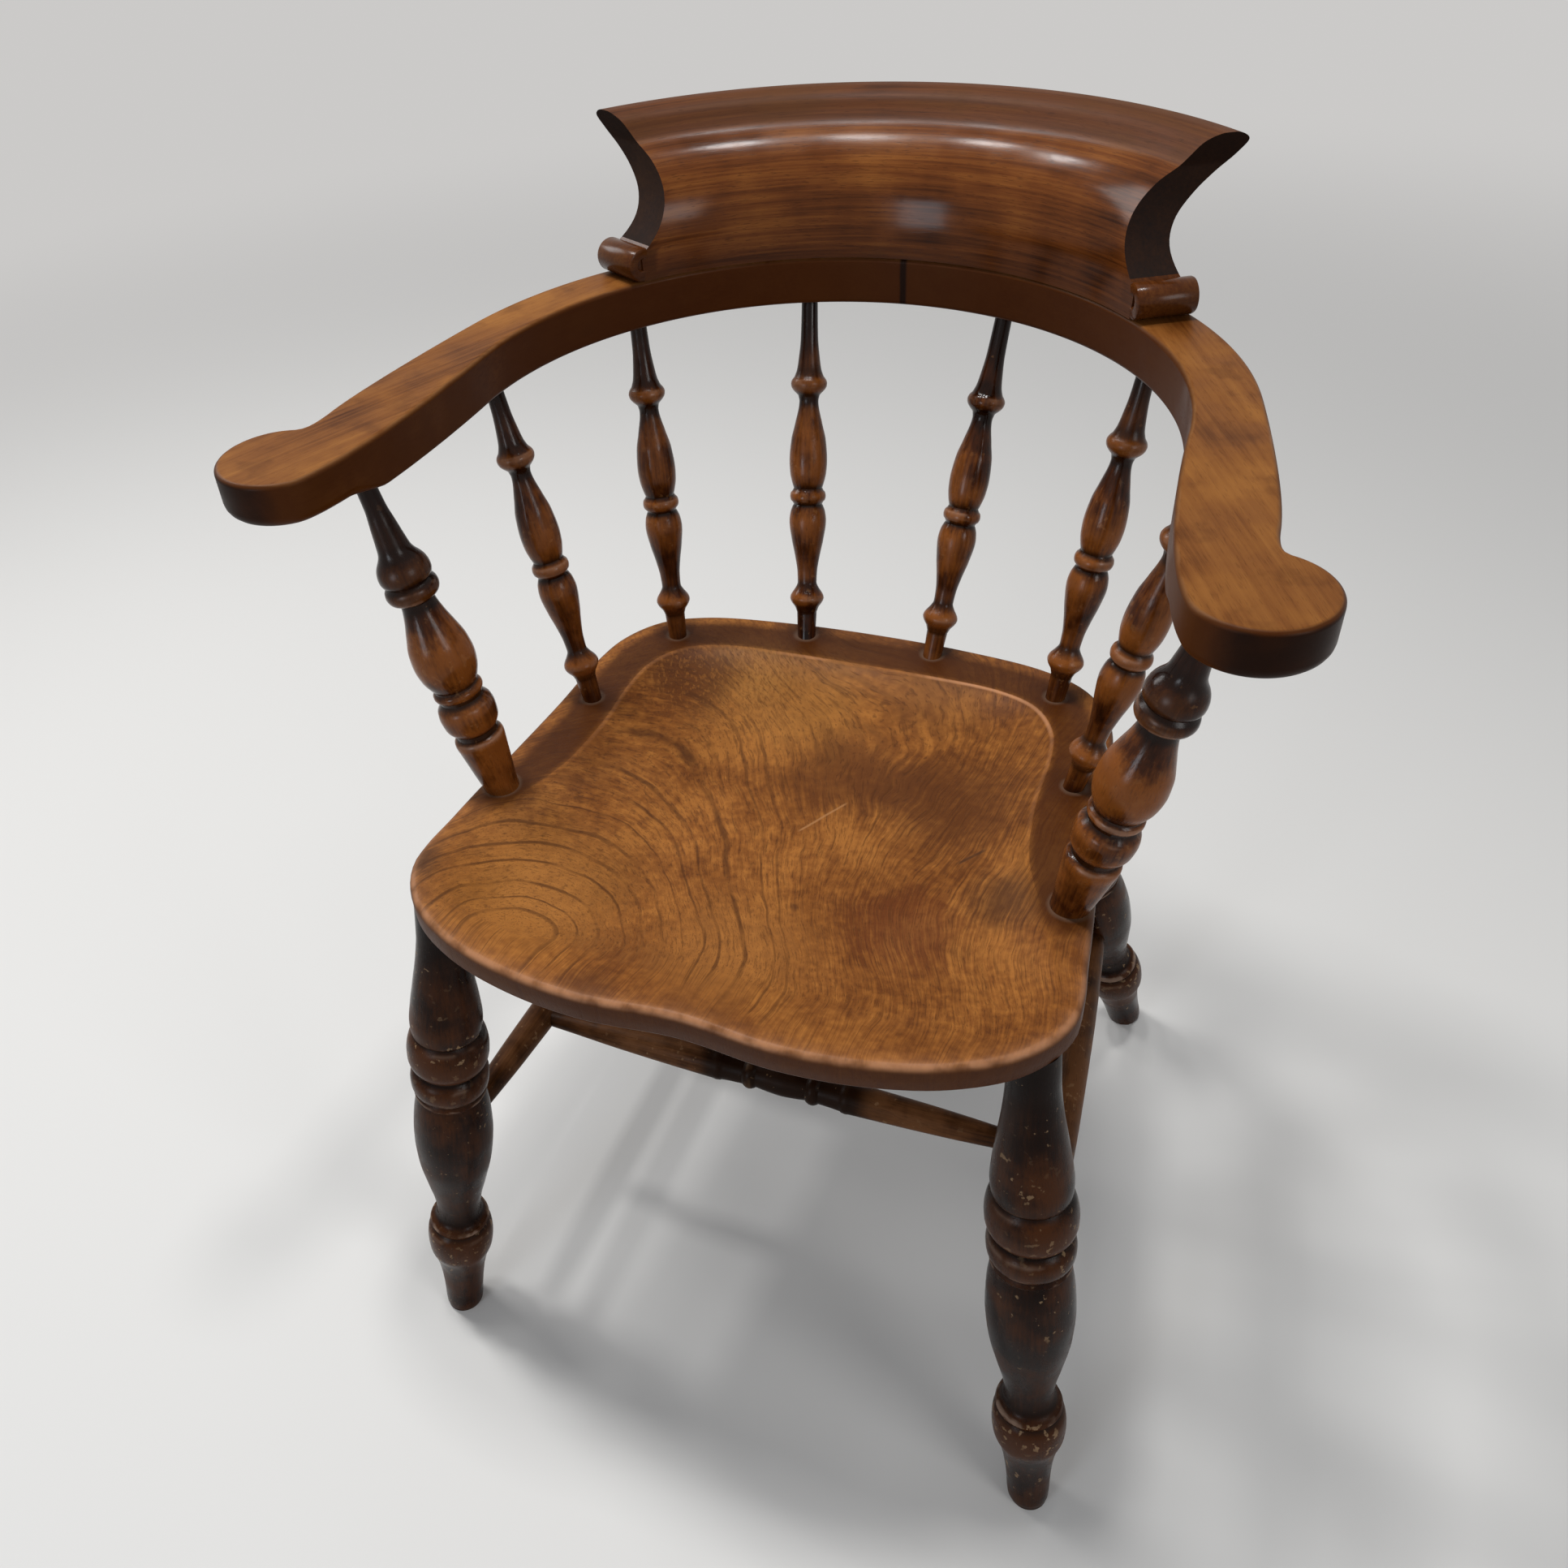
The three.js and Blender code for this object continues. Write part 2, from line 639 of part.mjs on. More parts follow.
function seamDowelBodies(slack) {
  const half = seamDowelHalf + slack;
  const radius = seamDowelRadius + slack / Math.cos(Math.PI / dowelFacets);
  const height = bowUnderside + bowThickness / 2;
  return sides.map(({ sign }) => {
    const middle = onBow(0, bowBackWidth / 2 + sign * seamDowelSpread, height);
    return turned([[-half, radius], [half, radius]], dowelFacets)
      .rotateY(Math.PI / 2).translate(middle.x, middle.y, middle.z);
  });
}

function dowels(name, bodies) {
  return bodies.map((body, k) => named(`${name}_${k + 1}`, body, wood.dowel));
}

// The uprights run on into their sockets at both ends
function uprightProfile(shares, length, radius) {
  const profile = scaledProfile(shares, length, radius);
  return [[-uprightTenon, profile[0][1]], ...profile, [length + uprightTenon, profile.at(-1)[1]]];
}

function upright(name, { foot, head }, shares, radius, facets) {
  const profile = uprightProfile(shares, foot.distanceTo(head), radius);
  return turnedBetween(name, foot, head, profile, facets, wood.upright);
}

// A leg's turning is the same on all four; its plain neck is as long as it needs to reach the seat
function leg(row, side) {
  const { foot, head } = legEnds(row, side.sign);
  const length = foot.distanceTo(head);
  const turning = scaledProfile(legProfileShares, legTurning, legRadius);
  const profile = [
    [-overrun, turning[0][1]], ...turning,
    [length - legTenon, legNeckRadius], [length + legTenon, legNeckRadius],
  ];
  const floor = new THREE.BoxGeometry(legRadius * 2, legRadius * 2, overrun * 2);
  floor.translate(foot.x, foot.y, -overrun);
  const { front, back } = sideStretcherEnds(side.sign);
  const [here, there] = row === 'front' ? [front, back] : [back, front];
  const socket = mortise(here, there, stretcherTenonRadius, legRadius, stretcherSetback);
  const name = `leg_${row}_${side.name}`;
  return turnedBetween(name, foot, head, profile, legFacets, wood.leg, [floor, socket]);
}

// A socket bored towards the axis of a turned piece, up to a setback from that axis
function mortise(axisPoint, other, radius, outerRadius, setback) {
  const mouth = axisPoint.clone().add(other.clone().sub(axisPoint).setLength(outerRadius));
  return hole(mouth, axisPoint, radius, outerRadius - setback - fitGap);
}

function stretcherProfile(shares, length, radius, tenonLength, tenonRadius) {
  const body = scaledProfile(shares, length - tenonLength * 2, radius);
  const shifted = body.map(([along, out]) => [along + tenonLength, out]);
  return [[0, tenonRadius], ...shifted, [length, tenonRadius]];
}

function sideStretcher(side) {
  const { front, back } = sideStretcherEnds(side.sign);
  const run = back.clone().sub(front);
  const length = run.length() - stretcherSetback * 2;
  const from = front.clone().add(run.clone().setLength(stretcherSetback));
  const tenonLength = legRadius - stretcherSetback;
  const profile = stretcherProfile(
    sideStretcherShares, length, sideStretcherRadius, tenonLength, stretcherTenonRadius,
  );
  const tools = crossPlaceShares.map((placeShare) => {
    const ends = crossStretcherEnds(placeShare);
    const here = side.sign < 0 ? ends[0] : ends[1];
    const there = side.sign < 0 ? ends[1] : ends[0];
    return mortise(here, there, crossTenonRadius, sideStretcherRadius, crossSetback);
  });
  const name = `stretcher_${side.name}`;
  return turnedBetween(name, from, back, profile, stretcherFacets, wood.stretcher, tools);
}

function crossStretcher(name, placeShare) {
  const [left, right] = crossStretcherEnds(placeShare);
  const run = right.clone().sub(left);
  const length = run.length() - crossSetback * 2;
  const from = left.clone().add(run.clone().setLength(crossSetback));
  const mirrored = crossStretcherShares.slice(0, -1).reverse().map(([along, out]) => [1 - along, out]);
  const shares = [...crossStretcherShares, ...mirrored];
  const tenonLength = sideStretcherRadius - crossSetback;
  const profile = stretcherProfile(shares, length, crossStretcherRadius, tenonLength, crossTenonRadius);
  return turnedBetween(name, from, right, profile, stretcherFacets, wood.stretcher);
}

// The chair, with its origin on the floor under the middle of its box
function chair() {
  const group = new THREE.Group();
  group.add(seat(), crest());
  crossPlaceShares.forEach((placeShare, k) => {
    group.add(crossStretcher(`stretcher_cross_${k === 0 ? 'front' : 'rear'}`, placeShare));
  });
  for (const side of sides) {
    group.add(arm(side), sideStretcher(side), leg('front', side), leg('back', side));
    const post = postEnds(side.sign);
    group.add(upright(`post_${side.name}`, post, postProfileShares, postRadius, postFacets));
    spindleNames.forEach((name, which) => {
      const ends = spindleEnds(which, side.sign);
      const node = `spindle_${name}_${side.name}`;
      group.add(upright(node, ends, spindleProfileShares, spindleRadius, spindleFacets));
    });
  }
  group.add(...dowels('crest_dowel', crestDowelBodies(0)), ...dowels('seam_dowel', seamDowelBodies(0)));
  const box = new THREE.Box3().setFromObject(group, true);
  group.position.y = -(box.min.y + box.max.y) / 2;
  return group;
}

const group = chair();
export default group;
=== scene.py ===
import json
import math

import bpy
import numpy as np
from mathutils import Matrix, Vector


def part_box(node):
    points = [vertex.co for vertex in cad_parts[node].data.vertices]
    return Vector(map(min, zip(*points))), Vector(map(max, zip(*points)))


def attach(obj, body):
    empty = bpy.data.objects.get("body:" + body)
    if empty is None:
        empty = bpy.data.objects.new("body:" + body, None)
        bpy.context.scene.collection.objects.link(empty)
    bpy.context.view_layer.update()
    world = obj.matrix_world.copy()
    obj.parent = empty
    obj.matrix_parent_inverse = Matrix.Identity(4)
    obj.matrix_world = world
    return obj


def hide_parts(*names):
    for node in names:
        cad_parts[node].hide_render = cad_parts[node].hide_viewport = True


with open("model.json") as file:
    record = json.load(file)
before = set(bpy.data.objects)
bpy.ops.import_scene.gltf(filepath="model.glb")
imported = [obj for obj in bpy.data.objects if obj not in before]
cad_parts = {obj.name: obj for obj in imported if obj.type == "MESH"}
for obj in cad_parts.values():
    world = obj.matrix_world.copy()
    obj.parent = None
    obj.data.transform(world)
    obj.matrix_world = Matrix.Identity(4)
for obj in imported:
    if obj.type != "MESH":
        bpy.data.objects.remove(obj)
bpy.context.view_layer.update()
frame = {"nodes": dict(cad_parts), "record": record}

# Sizes are in millimetres unless a note says otherwise; +Z is up and the chair faces -Y
mm = 0.001
nodes = frame["nodes"]
sides = {"left": -1, "right": 1}
print("frame loaded:", len(nodes), "pieces")


def selectNothing():
    active = bpy.context.view_layer.objects.active
    if active and active.mode != "OBJECT":
        bpy.ops.object.mode_set(mode="OBJECT")
    bpy.ops.object.select_all(action="DESELECT")


def pick(piece):
    selectNothing()
    piece.select_set(True)
    bpy.context.view_layer.objects.active = piece


def editAll(piece):
    pick(piece)
    bpy.ops.object.mode_set(mode="EDIT")
    bpy.ops.mesh.select_all(action="SELECT")


def turnFacesOut():
    bpy.ops.mesh.select_all(action="SELECT")
    bpy.ops.mesh.normals_make_consistent(inside=False)
    bpy.ops.object.mode_set(mode="OBJECT")


def cleanSkin(piece, mergeWithin=0.02):
    editAll(piece)
    bpy.ops.mesh.remove_doubles(threshold=mergeWithin * mm)
    turnFacesOut()


def applyPlace(piece):
    pick(piece)
    bpy.ops.object.transform_apply(location=True, rotation=True, scale=True)


def readVectors(parts, name):
    values = np.zeros(len(parts) * 3)
    parts.foreach_get(name, values)
    return values.reshape(-1, 3)


def meshPlaces(mesh):
    return readVectors(mesh.vertices, "co")


# The grain attribute says where each place lay in the log it was cut from, with Z along the grain
def storeGrain(piece, places):
    grain = piece.data.attributes.new("grain", "FLOAT_VECTOR", "POINT")
    grain.data.foreach_set("vector", np.asarray(places, np.float32).ravel())


# Wear, grime, painted shade, painted highlight and the like are shares from 0 to 1, kept at every point or
# face for the finishes to read
def storeShare(piece, name, shares, domain="POINT"):
    layer = piece.data.attributes.new(name, "FLOAT", domain)
    layer.data.foreach_set("value", np.clip(np.asarray(shares, np.float32), 0, 1).ravel())


def dress(piece, material):
    piece.data.materials.clear()
    piece.data.materials.append(material)


# The piece is shaded smooth, stands for its CAD node and takes the finish of its wood
def finishPiece(piece, node, wood, sharpFrom=32):
    pick(piece)
    bpy.ops.object.shade_smooth_by_angle(angle=math.radians(sharpFrom))
    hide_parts(node)
    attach(piece, "root")
    dress(piece, finishes[wood])


# Curves. A cubic leaves its start and arrives at its end in the directions given.
def cubic(t, start, leave, end, arrive):
    return (
        (2 * t**3 - 3 * t**2 + 1) * start + (t**3 - 2 * t**2 + t) * leave
        + (3 * t**2 - 2 * t**3) * end + (t**3 - t**2) * arrive
    )


def splineThrough(points, steps, closed=False):
    points = [np.asarray(point, float) for point in points]
    count = len(points)
    line = []
    for k in range(count if closed else count - 1):
        start, end = points[k], points[(k + 1) % count]
        before = points[k - 1] if closed or k > 0 else 2 * start - end
        after = points[(k + 2) % count] if closed or k + 2 < count else 2 * end - start
        gaps = [np.linalg.norm(b - a) ** 0.5 for a, b in ((before, start), (start, end), (end, after))]
        leave = (start - before) / gaps[0] - (end - before) / (gaps[0] + gaps[1]) + (end - start) / gaps[1]
        arrive = (end - start) / gaps[1] - (after - start) / (gaps[1] + gaps[2]) + (after - end) / gaps[2]
        for t in np.arange(steps) / steps:
            line.append(cubic(t, start, leave * gaps[1], end, arrive * gaps[1]))
    return np.array(line if closed else line + [points[-1]])


def evenlySpaced(line, count, closed=False):
    if closed:
        line = np.vstack([line, line[:1]])
    run = np.concatenate([[0], np.cumsum(np.linalg.norm(np.diff(line, axis=0), axis=1))])
    stops = np.linspace(0, run[-1], count + 1)[:-1] if closed else np.linspace(0, run[-1], count)
    return np.column_stack([np.interp(stops, run, line[:, axis]) for axis in range(line.shape[1])])


def bezier(corners, count):
    t = np.linspace(0, 1, count + 1)[:, None]
    corners = [np.asarray(corner, float) for corner in corners]
    while len(corners) > 1:
        corners = [a + (b - a) * t for a, b in zip(corners, corners[1:])]
    return corners[0]


def arc(centre, radius, fromAngle, toAngle, count):
    turn = np.radians(np.linspace(fromAngle, toAngle, count + 1))
    return np.column_stack([centre[0] + radius * np.cos(turn), centre[1] + radius * np.sin(turn)])


def easeStep(value, low, high):
    share = np.clip((value - low) / (high - low), 0, 1)
    return share * share * (3 - 2 * share)


# A sheet of quads is wrapped into closed rings, one row of the sheet to each ring.
# Shares such as wear, grime, painted shade and painted highlight are given ring by ring too.
def wrapSheet(name, rings, **shares):
    rings = np.asarray(rings, float)
    rows, around = rings.shape[:2]
    selectNothing()
    bpy.ops.mesh.primitive_grid_add(x_subdivisions=around, y_subdivisions=rows - 1, size=1)
    piece = bpy.context.object
    piece.name = piece.data.name = name
    closedRings = np.concatenate([rings, rings[:, :1]], axis=1)
    piece.data.vertices.foreach_set("co", (closedRings * mm).ravel())
    piece.data.update()
    for layer, values in shares.items():
        values = np.asarray(values, float)
        storeShare(piece, layer, np.concatenate([values, values[:, :1]], axis=1))
    return piece


# Turned pieces. Radii between the given ones follow an eased curve that never swells past them.
def easedProfile(sections, step):
    rings = []
    for section in sections:
        along, radius = (np.array(values, float) for values in zip(*section))
        gap = np.diff(along)
        slope = np.diff(radius) / gap
        tangent = np.zeros(len(along))
        tangent[0], tangent[-1] = slope[0], slope[-1]
        for k in range(1, len(along) - 1):
            if slope[k - 1] * slope[k] > 0:
                near, far = 2 * gap[k] + gap[k - 1], gap[k] + 2 * gap[k - 1]
                tangent[k] = (near + far) / (near / slope[k - 1] + far / slope[k])
        for k in range(len(gap)):
            count = max(1, round(math.hypot(gap[k], radius[k + 1] - radius[k]) / step))
            leave, arrive = gap[k] * tangent[k], gap[k] * tangent[k + 1]
            for t in np.arange(count) / count:
                rings.append((along[k] + gap[k] * t, cubic(t, radius[k], leave, radius[k + 1], arrive)))
        rings.append((along[-1], radius[-1]))
    return rings


# As at the lathe: the profile is drawn from the axis out and back to it, then spun
def spinProfile(name, rings, facets):
    selectNothing()
    bpy.ops.mesh.primitive_plane_add(size=mm, location=(0, 0, rings[0][0] * mm))
    piece = bpy.context.object
    piece.name = piece.data.name = name
    applyPlace(piece)
    editAll(piece)
    bpy.ops.mesh.merge(type="CENTER")
    hereAlong, hereRadius = rings[0][0], 0
    for along, radius in rings + [(rings[-1][0], 0)]:
        step = ((radius - hereRadius) * mm, 0, (along - hereAlong) * mm)
        bpy.ops.mesh.extrude_vertices_move(TRANSFORM_OT_translate={"value": step})
        hereAlong, hereRadius = along, radius
    bpy.ops.mesh.select_all(action="SELECT")
    bpy.ops.mesh.spin(steps=facets, angle=math.tau, center=(0, 0, 0), axis=(0, 0, 1))
    cleanSkin(piece)
    return piece


# How wear, grime, painted shade and the pale bead edges, which are partly wear and partly painted highlight,
# follow a turned shape. The two reaches are counted in samples of the profile.
turning = {
    "sampleEvery": 0.5,
    "swellReach": 18,
    "edgeReach": 5,
    "edgeHeight": 0.5,
    "swellWear": 0.5,
    "grooveGrime": 0.8,
    "grainStep": (0.31, 0.17, 0.53),  # metres in the log from one copy to the next
}


def runningMean(values, reach):
    window = 2 * reach + 1
    return np.convolve(np.pad(values, reach, mode="edge"), np.ones(window) / window, mode="valid")


# Beads and swellings wear bright and grooves stay grimy; the lengths in shade get painted shade, and the pale
# bead edges are partly wear and partly painted highlight
def turnPiece(name, look, sections):
    rings = easedProfile(sections, look["step"])
    piece = spinProfile(name, rings, look["facets"])
    along, radius = np.array(rings).T
    samples = np.arange(along[0], along[-1], turning["sampleEvery"])
    profile = np.interp(samples, along, radius)
    relief = (profile - runningMean(profile, turning["swellReach"])) / look["beadHeight"]
    edge = (profile - runningMean(profile, turning["edgeReach"])) / turning["edgeHeight"]
    place = meshPlaces(piece.data)[:, 2] / mm
    swell = np.interp(place, samples, relief)
    wornAndHighlit = np.interp(place, *zip(*look["wornAndHighlit"]))
    shade = np.interp(place, *zip(*look["shade"]))
    storeShare(piece, "edge", np.interp(place, samples, edge))
    storeShare(piece, "wear", np.clip(swell, 0, 1) * turning["swellWear"] + wornAndHighlit)
    storeShare(piece, "grime", np.clip(-swell, 0, 1) * turning["grooveGrime"] + shade)
    return piece


# A copy with its own mesh, stood on one point and aimed at another, turned so far round its own axis
def placeCopy(master, name, foot, head, turn):
    piece = master.copy()
    piece.data = master.data.copy()
    piece.name = piece.data.name = name
    bpy.context.scene.collection.objects.link(piece)
    own = meshPlaces(piece.data)
    storeGrain(piece, own + np.array(turning["grainStep"]) * turn)
    aim = (head - foot).to_track_quat("Z", "Y").to_matrix().to_4x4()
    piece.matrix_world = Matrix.Translation(foot) @ aim @ Matrix.Rotation(turn, 4, "Z")
    applyPlace(piece)
    return piece


def trim(piece, place, normal):
    editAll(piece)
    bpy.ops.mesh.bisect(plane_co=place, plane_no=normal, use_fill=True, clear_outer=True)
    bpy.ops.object.mode_set(mode="OBJECT")


def discard(piece):
    bpy.data.meshes.remove(piece.data)


# Ends of the axis of a turned CAD piece, the lower or the left or the front one first
def axisEnds(node, sortBy=2):
    places = np.unique(np.round(meshPlaces(nodes[node].data), 6), axis=0)
    middle = places.mean(axis=0)
    along = np.linalg.svd(places - middle)[2][0]
    along = along * np.sign(along[sortBy])
    reach = (places - middle) @ along
    first = places[reach < reach.min() + mm].mean(axis=0)
    last = places[reach > reach.max() - mm].mean(axis=0)
    return Vector(first), Vector(last)


# Heights along each turned piece are from its foot; "shade" is painted shade, where the seat, the bow, the
# floor and the other pieces shade them, and the wear table gives wear, each as a share
leg = {
    "facets": 48,
    "step": 2.6,
    "beadHeight": 2.6,
    "footLift": 0.1,  # the feet are cut this far above the floor
    "shade": [(0, 0.3), (40, 0.15), (80, 0.1), (108, 0.3), (130, 0.25), (210, 0.1), (300, 0.05), (340, 0.1),
              (385, 0.45), (430, 0.9)],
    "wornAndHighlit": [(0, 0.35), (30, 0.3), (60, 0.45), (92, 0.7), (108, 0.9), (120, 0.1), (200, 0.15), (252, 0.25),
             (272, 0.55), (300, 0.65), (319, 0.3), (350, 0.5), (400, 0.25), (430, 0)],
    "sections": [
        [(-14, 13.2), (0, 13.5), (3, 14.5), (24, 15.5), (47, 17.5), (66, 21), (78, 24.6), (89, 25.4),
         (99, 24.6), (105, 21.3)],
        [(106.5, 22), (109, 22.9), (111.5, 22)],
        [(113, 19.5), (117, 17.1), (123, 16.7), (137, 18.2), (157, 22.3), (187, 27.6), (211, 29), (232, 28.1),
         (248, 26), (254, 24.6)],
        [(255.5, 25.3), (257.5, 26.2), (259.5, 25.4)],
        [(261, 24.6), (263, 26.6), (268, 28), (273, 28.2), (278, 27.1), (282, 23.8)],
        [(284, 24), (288, 27.1), (294, 28.8), (301, 29), (309, 28), (315, 26), (318, 23.8)],
        [(320, 24.8), (328, 25.4), (343, 24), (364, 21), (388, 17.6), (408, 16), (470, 15.6)],
    ],
}


def makeLegs():
    master = turnPiece("leg_turning", leg, leg["sections"])
    feet = {mount["name"]: Vector(mount["pos_m"]) for mount in frame["record"]["mounts"]}
    turn = 0
    for row in ("front", "back"):
        for side in sides:
            node = f"leg_{row}_{side}"
            foot = feet[f"foot_{row}_{side}"]
            head = axisEnds(node)[1]
            turn += 1
            piece = placeCopy(master, f"{node}_turned", foot, head, turn)
            trim(piece, (0, 0, leg["footLift"] * mm), (0, 0, -1))
            trim(piece, head, head - foot)
            finishPiece(piece, node, "leg")
    discard(master)
    print("legs turned")


post = {
    "tenon": 12,  # of each CAD upright, this much lies in the seat
    "facets": 44,
    "step": 1.7,
    "beadHeight": 2.2,
    "shade": [(0, 0.2), (8, 0.05), (70, 0.1), (140, 0.15), (152, 0.55), (200, 0.6), (235, 0.85)],
    "wornAndHighlit": [(0, 0.35), (40, 0.5), (60, 0.3), (85, 0.45), (110, 0.7), (140, 0.35), (155, 0.05), (240, 0)],
    "sections": [
        [(-11, 11.8), (0, 12), (18, 14.2), (36, 16.6), (41, 17.3), (44, 16.8), (46, 14.3)],
        [(49, 14.2), (51, 16), (56, 18.6), (64, 19.4), (70, 18.4), (73, 16), (75, 14.6)],
        [(77, 14.8), (78.5, 16.4), (80, 17), (82, 16.8), (84, 15)],
        [(85, 14.9), (88, 16.5), (96, 19.6), (105, 20.8), (115, 20), (126, 17), (137, 13.6), (146, 11.6),
         (149.5, 11.2)],
        [(150.2, 12), (151.4, 14.6), (153.2, 16.6), (156.6, 17.7), (160, 17.2), (162.2, 15.6), (163.2, 14.7)],
        [(163.8, 15), (165, 16.4), (167.4, 17.2), (170, 17.3), (174, 16.6), (177.5, 15), (181, 12.6),
         (185, 10.8), (191, 9.8), (202, 8.4), (215, 6.8), (252, 6.2)],
    ],
}

spindle = {
    "tenon": 12,
    "facets": 36,
    "step": 1.6,
    "beadHeight": 1.8,
    "shade": [(0, 0.25), (10, 0.1), (60, 0.15), (130, 0.1), (180, 0.3), (215, 0.5), (235, 0.8)],
    "wornAndHighlit": [(0, 0.3), (30, 0.4), (60, 0.15), (90, 0.5), (125, 0.55), (160, 0.2), (190, 0.2), (240, 0)],
    "sections": [
        [(-11, 6.8), (0, 6.9), (18.5, 7.6)],
        [(19, 7.9), (22, 9), (26, 11.8), (29, 12.9), (31.5, 12.3), (34, 10.8), (37, 8.8), (41, 7.2),
         (49, 7.5), (61, 9.3), (74, 12), (88, 13.8), (95, 12.9), (99, 11.4)],
        [(100.3, 10.6), (102, 11.4), (103.4, 12.8), (106.2, 13.4), (109, 12.8), (110.6, 11.4)],
        [(112.3, 10.6), (116, 11.8), (124, 13.5), (132, 14), (147, 12.8), (159, 10), (175, 7), (179, 7.8)],
        [(180, 8.6), (182.5, 11.2), (185, 12.8), (187.5, 13.2), (190, 12.4), (192, 10.8)],
        [(193, 10.3), (197, 8.9), (204, 7.8), (219, 6.3), (252, 5.6)],
    ],
}


# The uprights run a little way into the seat and into the bow
def makeUprights():
    turn = 0
    for look, names in ((post, ["post"]), (spindle, ["spindle_side", "spindle_corner", "spindle_back"])):
        master = turnPiece("upright_turning", look, look["sections"])
        for name in names:
            for side in sides:
                node = f"{name}_{side}"
                low, high = axisEnds(node)
                seatLine = low + (high - low).normalized() * look["tenon"] * mm
                turn += 1
                piece = placeCopy(master, f"{node}_turned", seatLine, high, turn)
                finishPiece(piece, node, "upright")
        discard(master)
    print("uprights turned")


# A turning given to its middle has a far half that mirrors the near one
def mirrorSections(sections):
    def flipped(section):
        return [(1 - share, radius) for share, radius in reversed(section)]

    middle = sections[-1] + flipped(sections[-1][:-1])
    return sections[:-1] + [middle] + [flipped(section) for section in reversed(sections[:-1])]


# Sections of the stretchers are at shares of their length; "runsAlong" is the axis from end to end
sideStretcher = {
    "runsAlong": 1,
    "firstTurn": 13,
    "facets": 36,
    "step": 5,
    "beadHeight": 3,
    "shade": [(0, 0.7), (40, 0.2), (200, 0.1), (340, 0.2), (390, 0.7)],
    "wornAndHighlit": [(0, 0), (80, 0.4), (200, 0.6), (320, 0.4), (400, 0)],
    "sections": [
        [(0, 7.5), (0.06, 8.6), (0.22, 11.2), (0.42, 12.5), (0.64, 12.2), (0.84, 10.5), (1, 7.5)],
    ],
}
crossStretcher = {
    "runsAlong": 0,
    "firstTurn": 17,
    "facets": 36,
    "step": 2,
    "beadHeight": 2,
    "shade": [(0, 0.6), (25, 0.1), (130, 0.1), (150, 0.8), (260, 0.8), (280, 0.1), (385, 0.1), (410, 0.6)],
    "wornAndHighlit": [(0, 0), (60, 0.4), (130, 0.5), (150, 0), (260, 0), (280, 0.5), (350, 0.4), (410, 0)],
    "sections": mirrorSections([
        [(0, 6), (0.05, 7), (0.18, 9.9), (0.3, 11.6), (0.362, 12.2)],
        [(0.365, 12.3), (0.372, 12.7), (0.38, 12.2)],
        [(0.382, 11.6), (0.4, 11), (0.425, 10.6)],
        [(0.428, 11.6), (0.433, 12.7), (0.438, 13), (0.443, 12.7), (0.448, 11.6)],
        [(0.451, 10.5), (0.472, 11.5), (0.5, 12.2)],
    ]),
}


def turnStretcher(look, node):
    low, high = axisEnds(node, look["runsAlong"])
    length = (high - low).length / mm
    sections = [[(share * length, radius) for share, radius in section] for section in look["sections"]]
    return turnPiece("stretcher_turning", look, sections)


def placeStretcher(master, look, node, turn):
    low, high = axisEnds(node, look["runsAlong"])
    piece = placeCopy(master, f"{node}_turned", low, high, look["firstTurn"] + turn)
    finishPiece(piece, node, "stretcher")


def makeStretchers():
    master = turnStretcher(sideStretcher, "stretcher_left")
    for turn, side in enumerate(sides):
        placeStretcher(master, sideStretcher, f"stretcher_{side}", turn)
    discard(master)
    for turn, row in enumerate(("front", "rear")):
        node = f"stretcher_cross_{row}"
        master = turnStretcher(crossStretcher, node)
        placeStretcher(master, crossStretcher, node, turn)
        discard(master)
    print("stretchers turned")


seatLow, seatHigh = (np.array(corner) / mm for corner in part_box("seat"))
seat = {
    "around": 220,
    "splineSteps": 12,
    "thickness": 34,
    "underShares": (1, 0.6, 0.3),
    # Inset, depth below the top and painted shade of each ring, from the bevel underneath up the edge
    "edgeRings": [(20, 34, 1), (18.6, 33.6, 1), (1, 19.6, 0.9), (0, 17.8, 1), (0, 9.5, 1)],
    "edgeRound": 5,
    "roundRings": 8,
    # The pale line along the front edge is partly wear and partly painted highlight, and weakest at the sides
    # and back
    "sideWearAndHighlight": 0.15,
    "rim": 46,
    "frontRim": 12.6,
    "rimShares": (0.3, 0.6, 0.85),
    # The front of the flat rim takes a little of that pale, partly wear and partly painted highlight; the
    # grime at the back is dirt
    "rimWearAndHighlight": 0.15,
    "rimGrime": 0.85,
    # Inset from the ridge line, more of it at the rear, depth, grime and share of the ridge's pale line,
    # which is partly wear and partly painted highlight
    "ridgeRings": [(-0.5, -1.7, 0, 0.6, 0), (-0.2, -0.8, 0, 0, 1), (0.2, 0, 0.12, 0, 1)],
    "slope": 62,
    "frontSlope": 124,
    "slopeGrime": 0.4,
    "slopeGrimeRun": 0.25,
    "dishDepth": 12,
    "pommelRise": 5,
    "pommelHalfWidth": 47.5,
    "rampShares": (0.1, 0.5),
    "crispShares": (0.42, 0.72),
    "softShares": (-0.12, 0.32),
    "dishShares": [(0, 0), (0.18, 0.36), (0.42, 0.7), (0.7, 0.91), (1, 1)],
    "dishSteps": 6,
    "floorShares": (0.12, 0.25, 0.4, 0.55, 0.7, 0.82, 0.92, 1),
    "sharpFrom": 40,
    # Right half of the outline, from the front's middle to the back's
    "planShares": [
        (0, 0.011), (0.28, 0), (0.52, 0.012), (0.74, 0.046), (0.907, 0.102), (0.995, 0.18), (0.986, 0.302),
        (0.958, 0.46), (0.926, 0.63), (0.907, 0.776), (0.87, 0.859), (0.775, 0.93), (0.62, 0.97),
        (0.33, 0.993), (0, 1),
    ],
}


